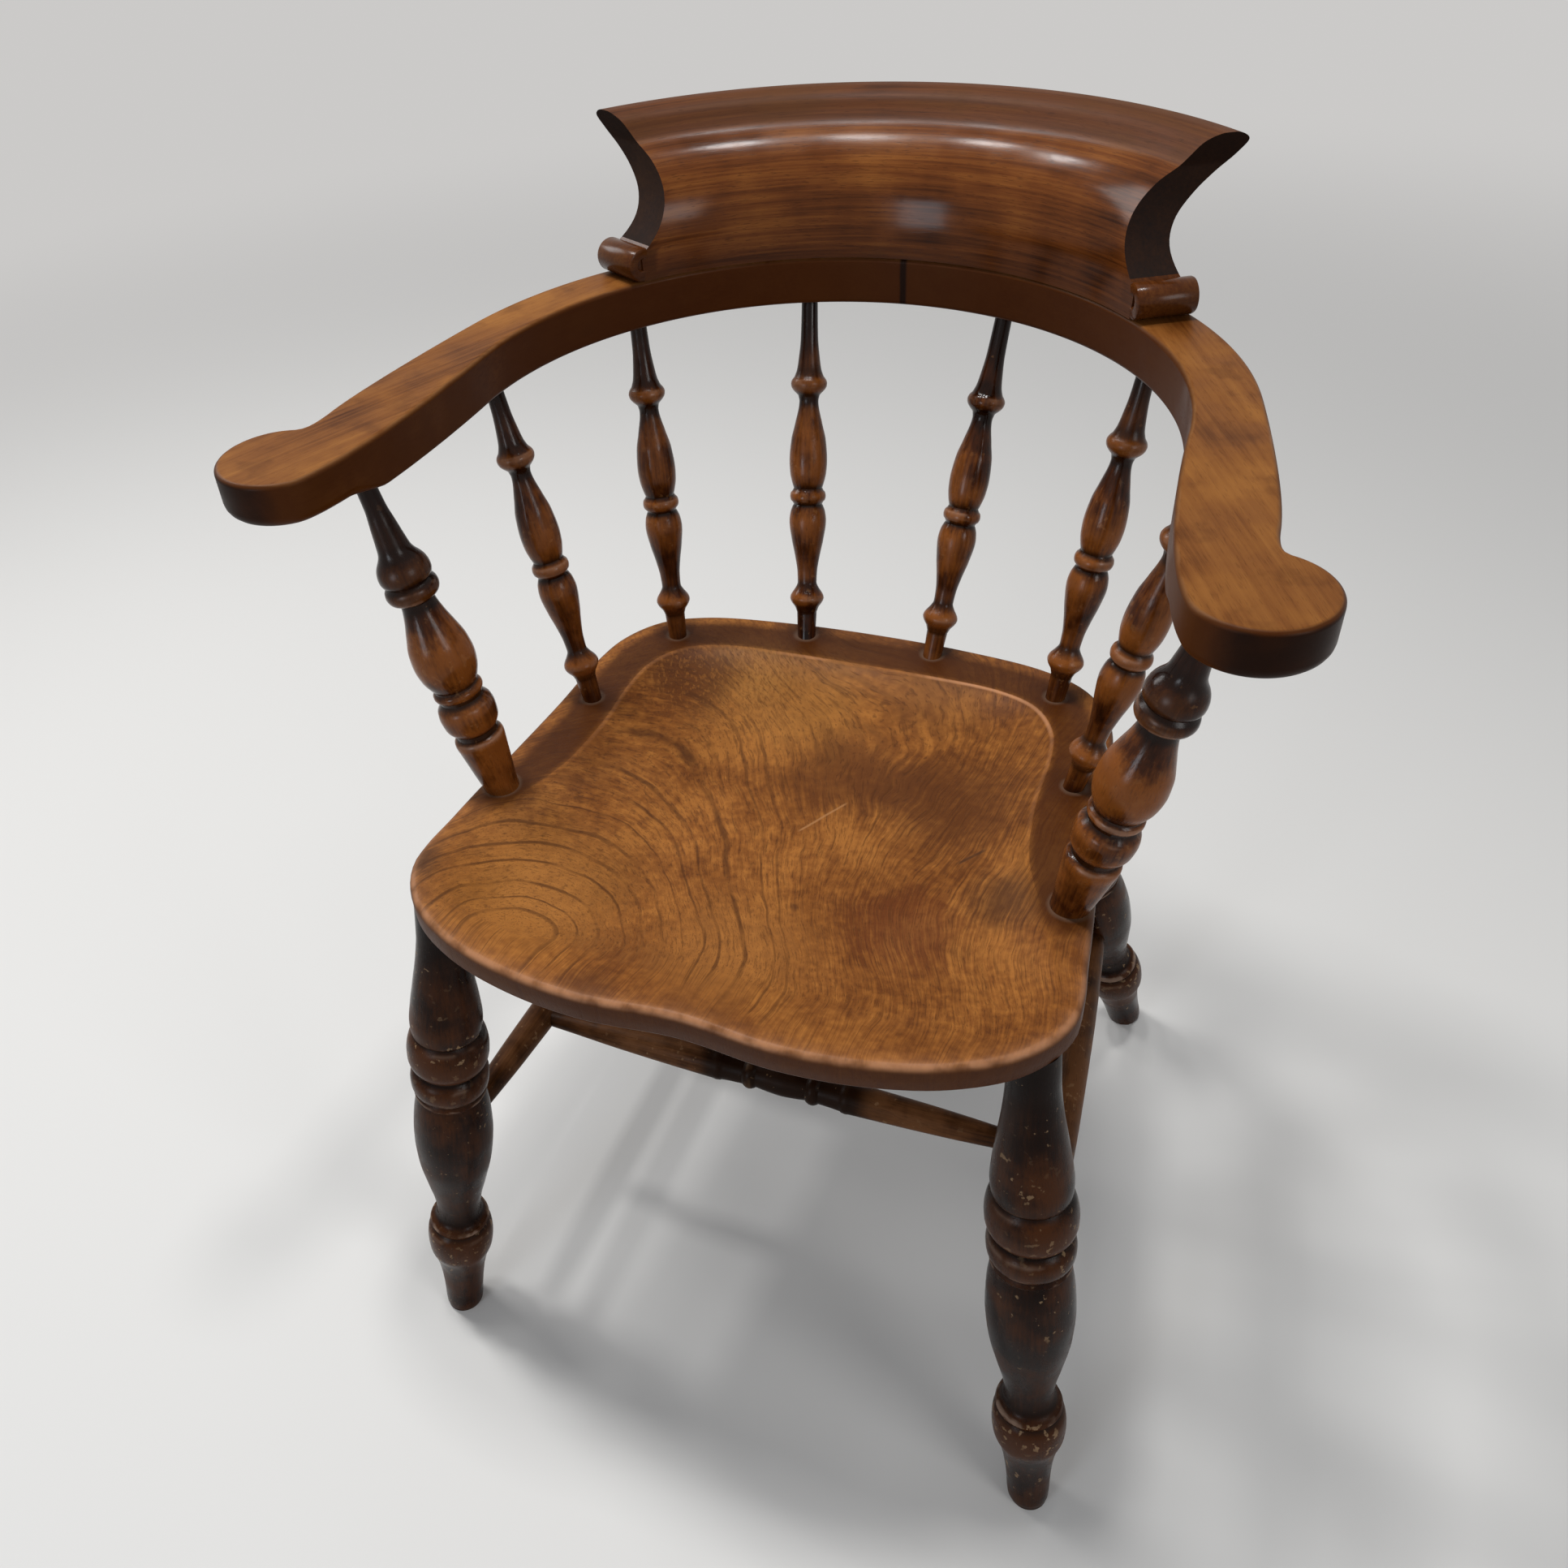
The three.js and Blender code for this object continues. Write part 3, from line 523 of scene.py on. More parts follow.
def makeSeat():
    half = seatHigh[0]
    front, depth = seatLow[1], seatHigh[1] - seatLow[1]
    top = seatHigh[2]
    knots = [(x * half, front + y * depth) for x, y in seat["planShares"]]
    knots += [(-x, y) for x, y in reversed(knots[1:-1])]
    outline = splineThrough(knots, seat["splineSteps"], closed=True)
    outline = evenlySpaced(outline, seat["around"], closed=True)
    outline = np.clip(outline, seatLow[:2], seatHigh[:2])
    middle = np.array([0, front + depth / 2])
    reach = np.linalg.norm(middle - outline, axis=1)
    inward = (middle - outline) / reach[:, None]
    rings, wear, grime, ridge = [], [], [], []

    def rearShare(y):
        return easeStep((y - front) / depth, *seat["rampShares"])

    def add(inset, height, wornAndHighlit=0.0, grimeAndShadeShare=0.0, onRidge=0.0):
        places = outline + inward * np.broadcast_to(inset, reach.shape)[:, None]
        heights = height(places) if callable(height) else np.full(len(places), height)
        rings.append(np.column_stack([places, heights]))
        for layer, share in ((wear, wornAndHighlit), (grime, grimeAndShadeShare), (ridge, onRidge)):
            layer.append(np.broadcast_to(share, reach.shape))

    # At the front the dish starts softly, at the rear from a crisp ridge
    def dish(runShare, sinkShare):
        def heights(places):
            spread = places[:, 0] / seat["pommelHalfWidth"]
            pommel = seat["pommelRise"] * (1 - rearShare(places[:, 1])) * np.exp(-spread * spread)
            soft = sinkShare * easeStep(runShare, *seat["softShares"])
            return top - (soft + (sinkShare - soft) * crisp) * (seat["dishDepth"] - pommel)
        return heights

    rear = rearShare(outline[:, 1])
    ahead = 1 - rear
    crisp = easeStep((outline[:, 1] - front) / depth, *seat["crispShares"])
    ridgeInset = seat["frontRim"] + (seat["rim"] - seat["frontRim"]) * rear
    run = seat["frontSlope"] + (seat["slope"] - seat["frontSlope"]) * rear
    # The underside and the edge below the rounding are darkened with painted shade
    for share in seat["underShares"]:
        add(reach * share, top - seat["thickness"], grimeAndShadeShare=1)
    for inset, below, grimeAndShadeShare in seat["edgeRings"]:
        add(inset, top - below, grimeAndShadeShare=grimeAndShadeShare)
    # The rounding carries a pale line at its top, partly wear and partly painted highlight, and painted shade
    # lower down
    edgeWearAndHighlight = seat["sideWearAndHighlight"] + (1 - seat["sideWearAndHighlight"]) * ahead
    for turn in np.radians(np.linspace(0, 90, seat["roundRings"])):
        inset = seat["edgeRound"] * (1 - math.cos(turn))
        add(inset, top - seat["edgeRound"] * (1 - math.sin(turn)),
            wornAndHighlit=edgeWearAndHighlight * math.sin(1.6 * turn) ** 2, grimeAndShadeShare=math.cos(turn) ** 0.7)
    for share in seat["rimShares"]:
        inset = seat["edgeRound"] + (ridgeInset - seat["edgeRound"]) * share
        add(inset, top, wornAndHighlit=seat["rimWearAndHighlight"] * ahead * (1 - share), grimeAndShadeShare=rear * seat["rimGrime"])
    # The ridge's pale line is partly wear and partly painted highlight
    for inset, rearInset, below, grimeAndShadeShare, onRidge in seat["ridgeRings"]:
        add(ridgeInset + inset + rearInset * rear, top - below * crisp,
            grimeAndShadeShare=rear * grimeAndShadeShare, onRidge=crisp * onRidge)
    for runShare, sinkShare in splineThrough(seat["dishShares"], seat["dishSteps"])[1:]:
        grimeAndShadeShare = seat["slopeGrime"] * max(0, 1 - runShare / seat["slopeGrimeRun"])
        add(ridgeInset + runShare * run, dish(runShare, sinkShare), grimeAndShadeShare=rear * grimeAndShadeShare)
    floorInset = ridgeInset + run
    for share in seat["floorShares"]:
        add(floorInset + (reach - floorInset) * share, dish(1, 1))
    piece = wrapSheet("seat_scooped", rings, wear=wear, grime=grime, ridge=ridge)
    cleanSkin(piece)
    finishPiece(piece, "seat", "seat", seat["sharpFrom"])
    print("seat scooped")


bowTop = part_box("arm_left")[1].z / mm
bow = {
    "thickness": 31.5,
    "innerRadius": 212,
    "outerRadius": 250,
    "armReach": 150,
    "waistWidth": 49,
    "waistFlare": 3.5,
    "waistSetback": 58,
    "handRadius": 35.5,
    "handOverhang": 10,
    "handTurn": 72,
    "handInner": 45,
    "handTip": 318,
    "handThickness": 27,
    "reliefSetback": 37,
    "reliefRun": 26,
    # Handles of the inner and the outer curve, at their back and front ends, as shares of the arm's reach
    "curveShares": (0.6, 0.12, 0.3, 0.2),
    "curveSteps": {"inner": 80, "toWaist": 60, "toHand": 40},
    "outerLeave": 11,
    "seamGap": 0.05,
    "topRound": 3,
    "underRound": 3,
    "handUnderRound": 7.5,
    "cornerRings": 6,
    "topStrips": 10,
    "underStrips": 6,
    "topWear": 0.25,
    # The pale on the middle of the top rounding is partly wear and partly painted highlight
    "cornerWearAndHighlight": (0.2, 0.7),  # least, and how much more at the middle of the rounding
    "underCornerWear": 0.25,
    # Painted shade on the underside, the lower rounding, the sides and the fronts of the hands, darkest
    # inside the bow at the back
    "underShade": 0.9,
    "underCornerShade": 0.8,
    "sideShade": 0.5,
    "tipShadeShares": (0.8, 0.9),
    "backShade": 0.15,
    "backShadeRun": (-20, 120),
    "grainLean": 24,
    "grainShift": 0.4,  # metres in the log from the seam to each arm
    "sharpFrom": 50,
    "rungs": {"back": 96, "arm": 48, "hand": 34},
}
bowCentre = np.array([0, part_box("arm_left")[1].y / mm - bow["outerRadius"]])


def joined(*parts):
    return np.vstack([parts[0]] + [part[1:] for part in parts[1:]])


# The inner and the outer edge run from the seam to the tip of the hand, rung by rung
def armEdges():
    centre, inner, outer, reach = bowCentre, bow["innerRadius"], bow["outerRadius"], bow["armReach"]
    hand = np.array([outer + bow["handOverhang"], centre[1] - reach])
    radius = bow["handRadius"]
    turn, innerTurn = math.radians(bow["handTurn"]), math.radians(bow["handInner"])
    innerEnd = hand - radius * np.array([math.cos(innerTurn), math.sin(innerTurn)])
    outerEnd = hand + radius * np.array([math.cos(turn), math.sin(turn)])
    waist = np.array([inner + bow["waistFlare"] + bow["waistWidth"], hand[1] + bow["waistSetback"]])
    innerBack, innerFront, outerBack, outerFront = (share * reach for share in bow["curveShares"])
    count, steps = bow["rungs"], bow["curveSteps"]
    leadIn = innerEnd + innerFront * np.array([-math.sin(innerTurn), math.cos(innerTurn)])
    innerArm = bezier([(inner, centre[1]), (inner, centre[1] - innerBack), leadIn, innerEnd], steps["inner"])
    leave = math.radians(bow["outerLeave"])
    outerStart = centre + outer * np.array([math.cos(leave), math.sin(leave)])
    ahead = np.array([math.sin(leave), -math.cos(leave)])
    outerArm = joined(
        bezier([outerStart, outerStart + ahead * outerBack, (waist[0], waist[1] + outerFront), waist],
               steps["toWaist"]),
        bezier([waist, (waist[0], hand[1] + radius), outerEnd], steps["toHand"]),
    )
    innerEdge = joined(
        arc(centre, inner, 90, 0, count["back"]),
        evenlySpaced(innerArm, count["arm"] + 1),
        arc(hand, radius, 180 + bow["handInner"], bow["handTip"], count["hand"]),
    )
    outerEdge = joined(
        arc(centre, outer, 90, bow["outerLeave"], count["back"]),
        evenlySpaced(outerArm, count["arm"] + 1),
        arc(hand, radius, 360 + bow["handTurn"], bow["handTip"], count["hand"]),
    )
    for edge in (innerEdge, outerEdge):
        edge[:, 0] = np.maximum(edge[:, 0], bow["seamGap"] / 2)
    return innerEdge, outerEdge, hand


def makeArms():
    innerEdge, outerEdge, hand = armEdges()
    count = len(innerEdge)
    whole = np.vstack([innerEdge, outerEdge[-2::-1]])
    ahead = np.gradient(whole, axis=0)
    outward = np.column_stack([ahead[:, 1], -ahead[:, 0]])
    outward[0], outward[-1] = (0, -1), (0, 1)
    outward /= np.linalg.norm(outward, axis=1)[:, None]
    innerOut, outerOut = outward[:count], outward[:count - 2:-1]
    nearTip = np.arange(count) / (count - 1)

    def levels(edge):
        setback = edge[:, 1] - hand[1]
        lift = (bow["thickness"] - bow["handThickness"]) * np.clip(
            (bow["reliefSetback"] - setback) / bow["reliefRun"], 0, 1)
        handShare = 1 - easeStep(setback, bow["reliefSetback"] - bow["reliefRun"], bow["reliefSetback"])
        under = bow["underRound"] + (bow["handUnderRound"] - bow["underRound"]) * handShare
        return bowTop - bow["thickness"] + lift, under

    columns, wear, grime = [], [], []

    def add(places, heights, wornAndHighlit, grimeAndShadeShare):
        columns.append(np.column_stack([places, np.broadcast_to(heights, count)]))
        wear.append(np.broadcast_to(wornAndHighlit, count))
        grime.append(np.broadcast_to(grimeAndShadeShare, count))

    # Painted shade: the inside of the bow is darkest at the back, the hands are darkest in front
    nearBack = easeStep(innerEdge[:, 1], *(bowCentre[1] + run for run in bow["backShadeRun"]))
    frontShade = bow["sideShade"] + (1 - bow["sideShade"]) * easeStep(nearTip, *bow["tipShadeShares"])
    turns = np.radians(np.linspace(0, 90, bow["cornerRings"]))
    corners = {}
    for name, edge, out in (("inner", innerEdge, innerOut), ("outer", outerEdge, outerOut)):
        low, under = levels(edge)
        sideShade = frontShade + bow["backShade"] * nearBack if name == "inner" else frontShade
        # The lower rounding is darkened with painted shade
        lower = [(
            edge - out * (under * (1 - math.cos(turn)))[:, None],
            low + under * (1 - math.sin(turn)),
            bow["underCornerWear"] * math.sin(2 * turn),
            np.maximum(sideShade, bow["underCornerShade"] * math.sin(turn)),
        ) for turn in turns[::-1]]
        # The top rounding is pale, partly wear and partly painted highlight, with painted shade fading up its
        # side
        upper = [(
            edge - out * bow["topRound"] * (1 - math.cos(turn)),
            bowTop - bow["topRound"] * (1 - math.sin(turn)),
            bow["cornerWearAndHighlight"][0] + bow["cornerWearAndHighlight"][1] * math.sin(2 * turn),
            sideShade * math.cos(turn),
        ) for turn in turns]
        corners[name] = lower + upper

    def across(first, second, strips, wornAndHighlit, grimeAndShadeShare):
        for share in np.arange(1, strips) / strips:
            places = first[0] + (second[0] - first[0]) * share
            add(places, first[1] + (second[1] - first[1]) * share, wornAndHighlit, grimeAndShadeShare)

    for corner in corners["inner"]:
        add(*corner)
    across(corners["inner"][-1], corners["outer"][-1], bow["topStrips"], bow["topWear"], 0)
    for corner in corners["outer"][::-1]:
        add(*corner)
    # The underside is darkened with painted shade
    across(corners["outer"][0], corners["inner"][0], bow["underStrips"], 0, bow["underShade"])
    rings = np.array(columns).transpose(1, 0, 2)
    rings[..., 0] = np.minimum(rings[..., 0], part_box("arm_right")[1].x / mm)
    layers = {"wear": np.array(wear).T, "grime": np.array(grime).T}
    lean = math.radians(bow["grainLean"])
    for side, sign in sides.items():
        piece = wrapSheet(f"arm_{side}_sawn", rings * (sign, 1, 1), **layers)
        cleanSkin(piece)
        editAll(piece)
        bpy.ops.mesh.fill_holes(sides=0)
        turnFacesOut()
        own = meshPlaces(piece.data)
        over = own[:, 0] * math.cos(lean) * sign + own[:, 1] * math.sin(lean)
        along = own[:, 1] * math.cos(lean) - own[:, 0] * math.sin(lean) * sign
        storeGrain(piece, np.column_stack([over + sign * bow["grainShift"], own[:, 2], along]))
        finishPiece(piece, f"arm_{side}", "bow", bow["sharpFrom"])
        weighted = piece.modifiers.new("weighted", "WEIGHTED_NORMAL")
        weighted.keep_sharp = True
        bpy.ops.object.modifier_apply(modifier=weighted.name)
    print("arms sawn")


crest = {
    "height": 96,
    "flare": 72,
    "foot": 38,
    "scrollAngle": 49.3,
    "sawAngle": 61.5,
    "hollowRadius": 60,
    "hollowDepth": 27.6,
    "hollowHeight": 68,
    "scrollRadius": 11,
    "scrollFacets": 40,
    # Depth and radius of the rings of a scroll's end, from its eye outwards
    "scrollEnd": [(1.6, 0.5), (1.6, 3.2), (0.64, 3.8), (0, 4.6), (0, 9.4), (0.5, 10.5), (1.6, 11)],
    "gap": 0.3,
    "slices": 120,
    "levels": 48,
    "topStep": 0.035,  # levels lie closer and closer up to this last step, where the section closes over
    "splineSteps": 14,
    "endRings": 5,
    "endShares": (0.1, 0.5),
    "mergeWithin": 0.005,
    "grainRadius": 235,
    "lipLevels": (0.79, 0.85),
    "footLevels": (0, 0.14),
    "scrollDark": 0.8,
    "scrollMargin": 3,
    "scrollClear": 1,
    "endwardLimit": 0.4,
    "sharpFrom": 38,
    # The section: how far behind the front of the foot, by the flare, and how far up, by the height
    "frontShares": [(0, 0), (0.02, 0.24), (0.07, 0.42), (0.17, 0.58), (0.34, 0.73), (0.5, 0.82),
                    (0.56, 0.875), (0.64, 0.955), (0.78, 1)],
    "backShares": [(0.78, 1), (0.93, 0.985), (1, 0.94), (0.94, 0.86), (0.8, 0.76), (0.64, 0.64), (0.49, 0.5),
                   (0.42, 0.36), (0.44, 0.18), (0.528, 0)],
}


def crestSection():
    whole = splineThrough(crest["frontShares"] + crest["backShares"][1:], crest["splineSteps"])
    peak = int(np.argmax(whole[:, 1]))
    levels = 1 - np.linspace(1, crest["topStep"], crest["levels"]) ** 2
    front = np.interp(levels, whole[:peak + 1, 1], whole[:peak + 1, 0])
    backLine = whole[peak:][::-1]
    back = np.interp(levels, backLine[:, 1], backLine[:, 0])
    up = levels * crest["height"]
    frontSide = np.column_stack([front * crest["flare"], up])
    backSide = np.column_stack([back * crest["flare"], up])[::-1]
    return np.vstack([frontSide, backSide])


# How far round the bow a place of the section reaches before it meets the sawn hollow
def sawnAngle(behind, up):
    hollow = crest["hollowRadius"]
    middle = hollow - crest["hollowDepth"]
    outward = min(middle - math.sqrt(max(hollow**2 - (up - crest["hollowHeight"]) ** 2, 0)), 0)
    lean = math.radians(crest["sawAngle"] - crest["scrollAngle"])
    radius = bow["innerRadius"] + behind
    sine = (outward - bow["innerRadius"] * math.sin(lean)) / radius
    return crest["sawAngle"] + math.degrees(math.asin(sine))


def onBow(angle, behind, height):
    turn = math.radians(angle)
    radius = bow["innerRadius"] + behind
    return np.array([radius * math.sin(turn), bowCentre[1] + radius * math.cos(turn), height])


def makeScroll(sign):
    start = onBow(sign * crest["scrollAngle"], 0, bowTop + crest["gap"] + crest["scrollRadius"])
    turn = math.radians(crest["sawAngle"])
    along = Vector((sign * math.sin(turn), math.cos(turn), 0))
    end, length = crest["scrollEnd"], crest["foot"]
    profile = end + [(length - depth, radius) for depth, radius in reversed(end)]
    scroll = spinProfile("scroll", profile, crest["scrollFacets"])
    aim = along.to_track_quat("Z", "Y").to_matrix().to_4x4()
    scroll.matrix_world = Matrix.Translation(Vector(start * mm)) @ aim
    applyPlace(scroll)
    return scroll


def makeCrest():
    section = crestSection()
    limits = np.array([sawnAngle(behind, up) for behind, up in section])
    base = bowTop + crest["gap"]
    rings = []
    for share in np.linspace(-1, 1, crest["slices"] + 1):
        rings.append(np.array([onBow(limit * share, behind, base + up)
                               for limit, (behind, up) in zip(limits, section)]))
    # Each sawn end is closed by rings whose front and back runs draw together, level by level
    closing = np.linspace(*crest["endShares"], crest["endRings"])
    first, last = ([end + (end[::-1] - end) * share for share in closing] for end in (rings[0], rings[-1]))
    piece = wrapSheet("crest_carved", first[::-1] + rings + last)
    cleanSkin(piece, crest["mergeWithin"])
    scrolls = [makeScroll(sign) for sign in sides.values()]
    selectNothing()
    for part in [piece] + scrolls:
        part.select_set(True)
    bpy.context.view_layer.objects.active = piece
    bpy.ops.object.join()

    def bowAngle(places):
        return np.arctan2(places[:, 0], places[:, 1] - bowCentre[1] * mm)

    own = meshPlaces(piece.data)
    angle = bowAngle(own)
    radius = np.hypot(own[:, 0], own[:, 1] - bowCentre[1] * mm)
    storeGrain(piece, np.column_stack([radius, own[:, 2], angle * crest["grainRadius"] * mm]))
    # The lip is worn dull; the foot and the scrolls stay dark, and so do the sawn ends, face by face
    level = (own[:, 2] / mm - base) / crest["height"]
    storeShare(piece, "wear", easeStep(level, *crest["lipLevels"]))
    scrollTop = (base + 2 * crest["scrollRadius"] + crest["scrollClear"]) * mm
    scrollStart = math.radians(crest["scrollAngle"] - crest["scrollMargin"])
    onScroll = (np.abs(angle) > scrollStart) & (own[:, 2] < scrollTop)
    footDark = 1 - easeStep(level, *crest["footLevels"])
    storeShare(piece, "grime", np.maximum(footDark, crest["scrollDark"] * onScroll))
    facing = readVectors(piece.data.polygons, "normal")
    middles = readVectors(piece.data.polygons, "center")
    angle = bowAngle(middles)
    endward = np.abs(facing[:, 0] * np.cos(angle) - facing[:, 1] * np.sin(angle))
    storeShare(piece, "sawn", (endward > crest["endwardLimit"]) & (middles[:, 2] > scrollTop), "FACE")
    finishPiece(piece, "crest", "crest", crest["sharpFrom"])
    print("crest carved")


# Finishes. Colours are dark and deep as the old polish is, shares run from 0 to 1, and places are in mm.
bumpHeight = 0.5  # from black to white at full strength
looks = {
    "seat": {
        "dark": (0.055, 0.017, 0.004), "deep": (0.12, 0.037, 0.0075), "mid": (0.2, 0.068, 0.013),
        # The dirt colour is dirt on the rim, painted shade on the edge and underside, and darkening round the
        # uprights; the pale colour is partly wear and partly painted highlight
        "light": (0.3, 0.112, 0.022), "pale": (0.5, 0.24, 0.12), "dirtAndShade": (0.045, 0.0112, 0.0014),
        "dust": (0.2, 0.14, 0.1), "topFrom": (432, 440), "ringCentre": (-125, -227.5),
        "sway": 34, "ripple": 7, "ringWaver": 26, "boldSpacing": 13, "fineSpacing": 4.6,
        "boldShare": 0.68, "fineShare": 0.12, "fleckShare": 0.7,
        "roughness": (0.38, 0.54), "specular": 0.1, "bump": 0.35,
        # Middle, radius, colour and strength of each broad patch
        "patches": [
            (-37, 44, 80, (0.31, 0.135, 0.03), 0.5), (-85, 76, 45, (0.38, 0.17, 0.04), 0.4),
            (-125, 54, 46, (0.062, 0.018, 0.004), 0.8), (25, -15, 62, (0.1, 0.032, 0.008), 0.65),
            (103, -28, 66, (0.085, 0.027, 0.007), 0.65), (106, -150, 46, (0.105, 0.027, 0.007), 0.65),
            (156, -112, 34, (0.05, 0.018, 0.006), 0.7), (-212, -197, 24, (0.03, 0.011, 0.005), 0.8),
            (33, -153, 4, (0.06, 0.02, 0.006), 0.6), (-130, -190, 80, (0.4, 0.165, 0.037), 0.45),
            (10, -200, 60, (0.36, 0.145, 0.034), 0.4), (-150, -60, 50, (0.12, 0.04, 0.009), 0.4),
            (60, 80, 60, (0.13, 0.047, 0.012), 0.5), (-60, -262, 24, (0.07, 0.022, 0.007), 0.6),
        ],
        # Start, end, width and colour
        "scratches": [
            ((12, -83), (34, -47), 1.2, (0.34, 0.16, 0.06)),
            ((119, -84), (134, -69), 1.6, (0.05, 0.02, 0.008)),
        ],
        # Middle and radius of the foot of each upright, on the right half
        "uprightFeet": [(194, -110.8, 12), (176.5, -0.3, 7), (146.7, 94.7, 7), (49.7, 122.2, 7)],
    },
    "bow": {
        # The darkest colour is painted shade on the underside and the fronts of the hands
        "darkest": (0.005, 0.0014, 0.0005), "dark": (0.044, 0.0105, 0.0012),
        "mid": (0.145, 0.05, 0.0105), "light": (0.215, 0.084, 0.0185),
        "golden": (0.28, 0.113, 0.024), "pale": (0.32, 0.155, 0.06),
        "seam": (0.006, 0.002, 0.001), "seamHalfWidth": 2.1, "seamWaver": 1.2,
        "roughness": (0.32, 0.48), "specular": 0.065, "bump": 0.12,
    },
    "crest": {
        "dark": (0.026, 0.0065, 0.0012), "mid": (0.1, 0.028, 0.0055), "light": (0.185, 0.063, 0.0125),
        "pale": (0.042, 0.0125, 0.0018), "sawn": (0.003, 0.0011, 0.0005),
        "roughness": (0.14, 0.22), "lipDulling": 0.36, "sawnDulling": 0.62, "specular": 0.14, "bump": 0.06,
    },
    # The worn colour lies on the bead edges, partly wear and partly painted highlight
    "upright": {
        "dark": (0.008, 0.0021, 0.0007), "mid": (0.047, 0.0112, 0.002), "light": (0.185, 0.055, 0.009),
        "wornAndHighlit": (0.3, 0.17, 0.11), "edgeShare": 0.5, "pale": (0.32, 0.15, 0.055), "chips": 0.2,
        "roughness": (0.13, 0.3), "specular": 0.18, "bump": 0.15,
    },
    "leg": {
        "dark": (0.0045, 0.0013, 0.0005), "mid": (0.014, 0.0037, 0.001), "light": (0.052, 0.015, 0.0032),
        "wornAndHighlit": (0.22, 0.145, 0.105), "edgeShare": 0.75, "pale": (0.27, 0.17, 0.09), "chips": 0.7,
        "roughness": (0.18, 0.38), "specular": 0.09, "bump": 0.3,
    },
    "stretcher": {
        "dark": (0.01, 0.0036, 0.0013), "mid": (0.05, 0.018, 0.0058), "light": (0.125, 0.05, 0.018),
        "wornAndHighlit": (0.22, 0.12, 0.06), "edgeShare": 0.4, "pale": (0.34, 0.2, 0.1), "chips": 0.3,
        "roughness": (0.32, 0.5), "specular": 0.06, "bump": 0.2,
    },
    "dowel": {
        "dark": (0.3, 0.18, 0.09), "mid": (0.44, 0.29, 0.15), "light": (0.55, 0.38, 0.21),
        "wornAndHighlit": (0.6, 0.45, 0.27), "edgeShare": 0.2, "pale": (0.6, 0.45, 0.27), "chips": 0,
        "roughness": (0.6, 0.72), "specular": 0.3, "bump": 0.2,
    },
}


# A socket that can be added to and multiplied, so that a pattern is written as a sum
class Wire:
    def __init__(self, tree, socket):
        self.tree, self.socket = tree, socket

    def __add__(self, other):
        return self.tree.maths("ADD", self, other)

    def __sub__(self, other):
        return self.tree.maths("SUBTRACT", self, other)

    def __mul__(self, other):
        return self.tree.maths("MULTIPLY", self, other)


class Tree:
    def __init__(self, owner):
        owner.use_nodes = True
        self.tree = owner.node_tree
        self.tree.nodes.clear()

    def add(self, kind, sources=None, **settings):
        node = self.tree.nodes.new(kind)
        for name, value in settings.items():
            setattr(node, name, value)
        for socket, source in (sources or {}).items():
            source = source.socket if isinstance(source, Wire) else source
            if isinstance(source, bpy.types.NodeSocket):
                self.tree.links.new(source, node.inputs[socket])
            else:
                node.inputs[socket].default_value = source
        return node

    def wire(self, kind, sources=None, output=0, **settings):
        return Wire(self, self.add(kind, sources, **settings).outputs[output])

    def maths(self, operation, first, second=0.0):
        return self.wire("ShaderNodeMath", {0: first, 1: second}, operation=operation)

    def share(self, value, low, high, start=0.0, end=1.0):
        sources = {0: value, 1: low, 2: high, 3: start, 4: end}
        return self.wire("ShaderNodeMapRange", sources, clamp=True, interpolation_type="SMOOTHSTEP")

    # Lays a colour over those before it, as far as the share says
    def coat(self, share, colour):
        sources = {0: share, 6: self.colour, 7: (*colour, 1)}
        self.colour = self.wire("ShaderNodeMix", sources, 2, data_type="RGBA")

    def noise(self, place, scale, detail, output=0):
        sources = {"Vector": place, "Scale": scale, "Detail": detail}
        return self.wire("ShaderNodeTexNoise", sources, output)

    def noises(self, place, scale, detail):
        return self.parts(self.noise(place, scale, detail, "Color"))

    def parts(self, vector):
        node = self.add("ShaderNodeSeparateXYZ", {0: vector})
        return [Wire(self, output) for output in node.outputs]

    def vector(self, x, y, z):
        return self.wire("ShaderNodeCombineXYZ", {0: x, 1: y, 2: z})

    def scaled(self, vector, scales):
        return self.wire("ShaderNodeVectorMath", {0: vector, 1: scales}, operation="MULTIPLY")

    def objectPlace(self):
        return self.wire("ShaderNodeTexCoord", output="Object")

    def millimetres(self):
        return self.parts(self.scaled(self.objectPlace(), (1 / mm,) * 3))

    def attribute(self, name, output="Fac"):
        return self.wire("ShaderNodeAttribute", output=output, attribute_name=name)

    # The first colour runs from stop to stop
    def ramp(self, value, stops):
        node = self.add("ShaderNodeValToRGB", {0: value})
        while len(node.color_ramp.elements) < len(stops):
            node.color_ramp.elements.new(0.5)
        for element, (place, colour) in zip(node.color_ramp.elements, stops):
            element.position = place
            element.color = (*colour, 1)
        self.colour = Wire(self, node.outputs[0])

    def distance(self, x, y, centre):
        across, along = x - centre[0], y - centre[1]
        return self.maths("SQRT", across * across + along * along)

    # Polished wood: what is the same all over is set on the shader itself
    def polish(self, look, height, rough):
        bump = {"Height": height, "Strength": look["bump"], "Distance": bumpHeight * mm}
        shader = self.wire("ShaderNodeBsdfPrincipled", {
            "Base Color": self.colour, "Roughness": rough, "Normal": self.wire("ShaderNodeBump", bump),
            "Specular IOR Level": look["specular"],
        })
        self.add("ShaderNodeOutputMaterial", {"Surface": shader})


def newMaterial(name):
    material = bpy.data.materials.new(name)
    return material, Tree(material)


# A scratch is a short mark of its own width between two places of the seat
def scratchMark(tree, x, y, start, end, width, waver):
    length = math.dist(start, end)
    aheadX, aheadY = (end[0] - start[0]) / length, (end[1] - start[1]) / length
    along = (x - start[0]) * aheadX + (y - start[1]) * aheadY
    beside = tree.maths("ABSOLUTE", (x - start[0]) * aheadY - (y - start[1]) * aheadX + waver)
    within = tree.share(along, -2, 3) * tree.share(along, length - 3, length + 2, 1, 0)
    return within * tree.share(beside, width * 0.3, width, 1, 0)


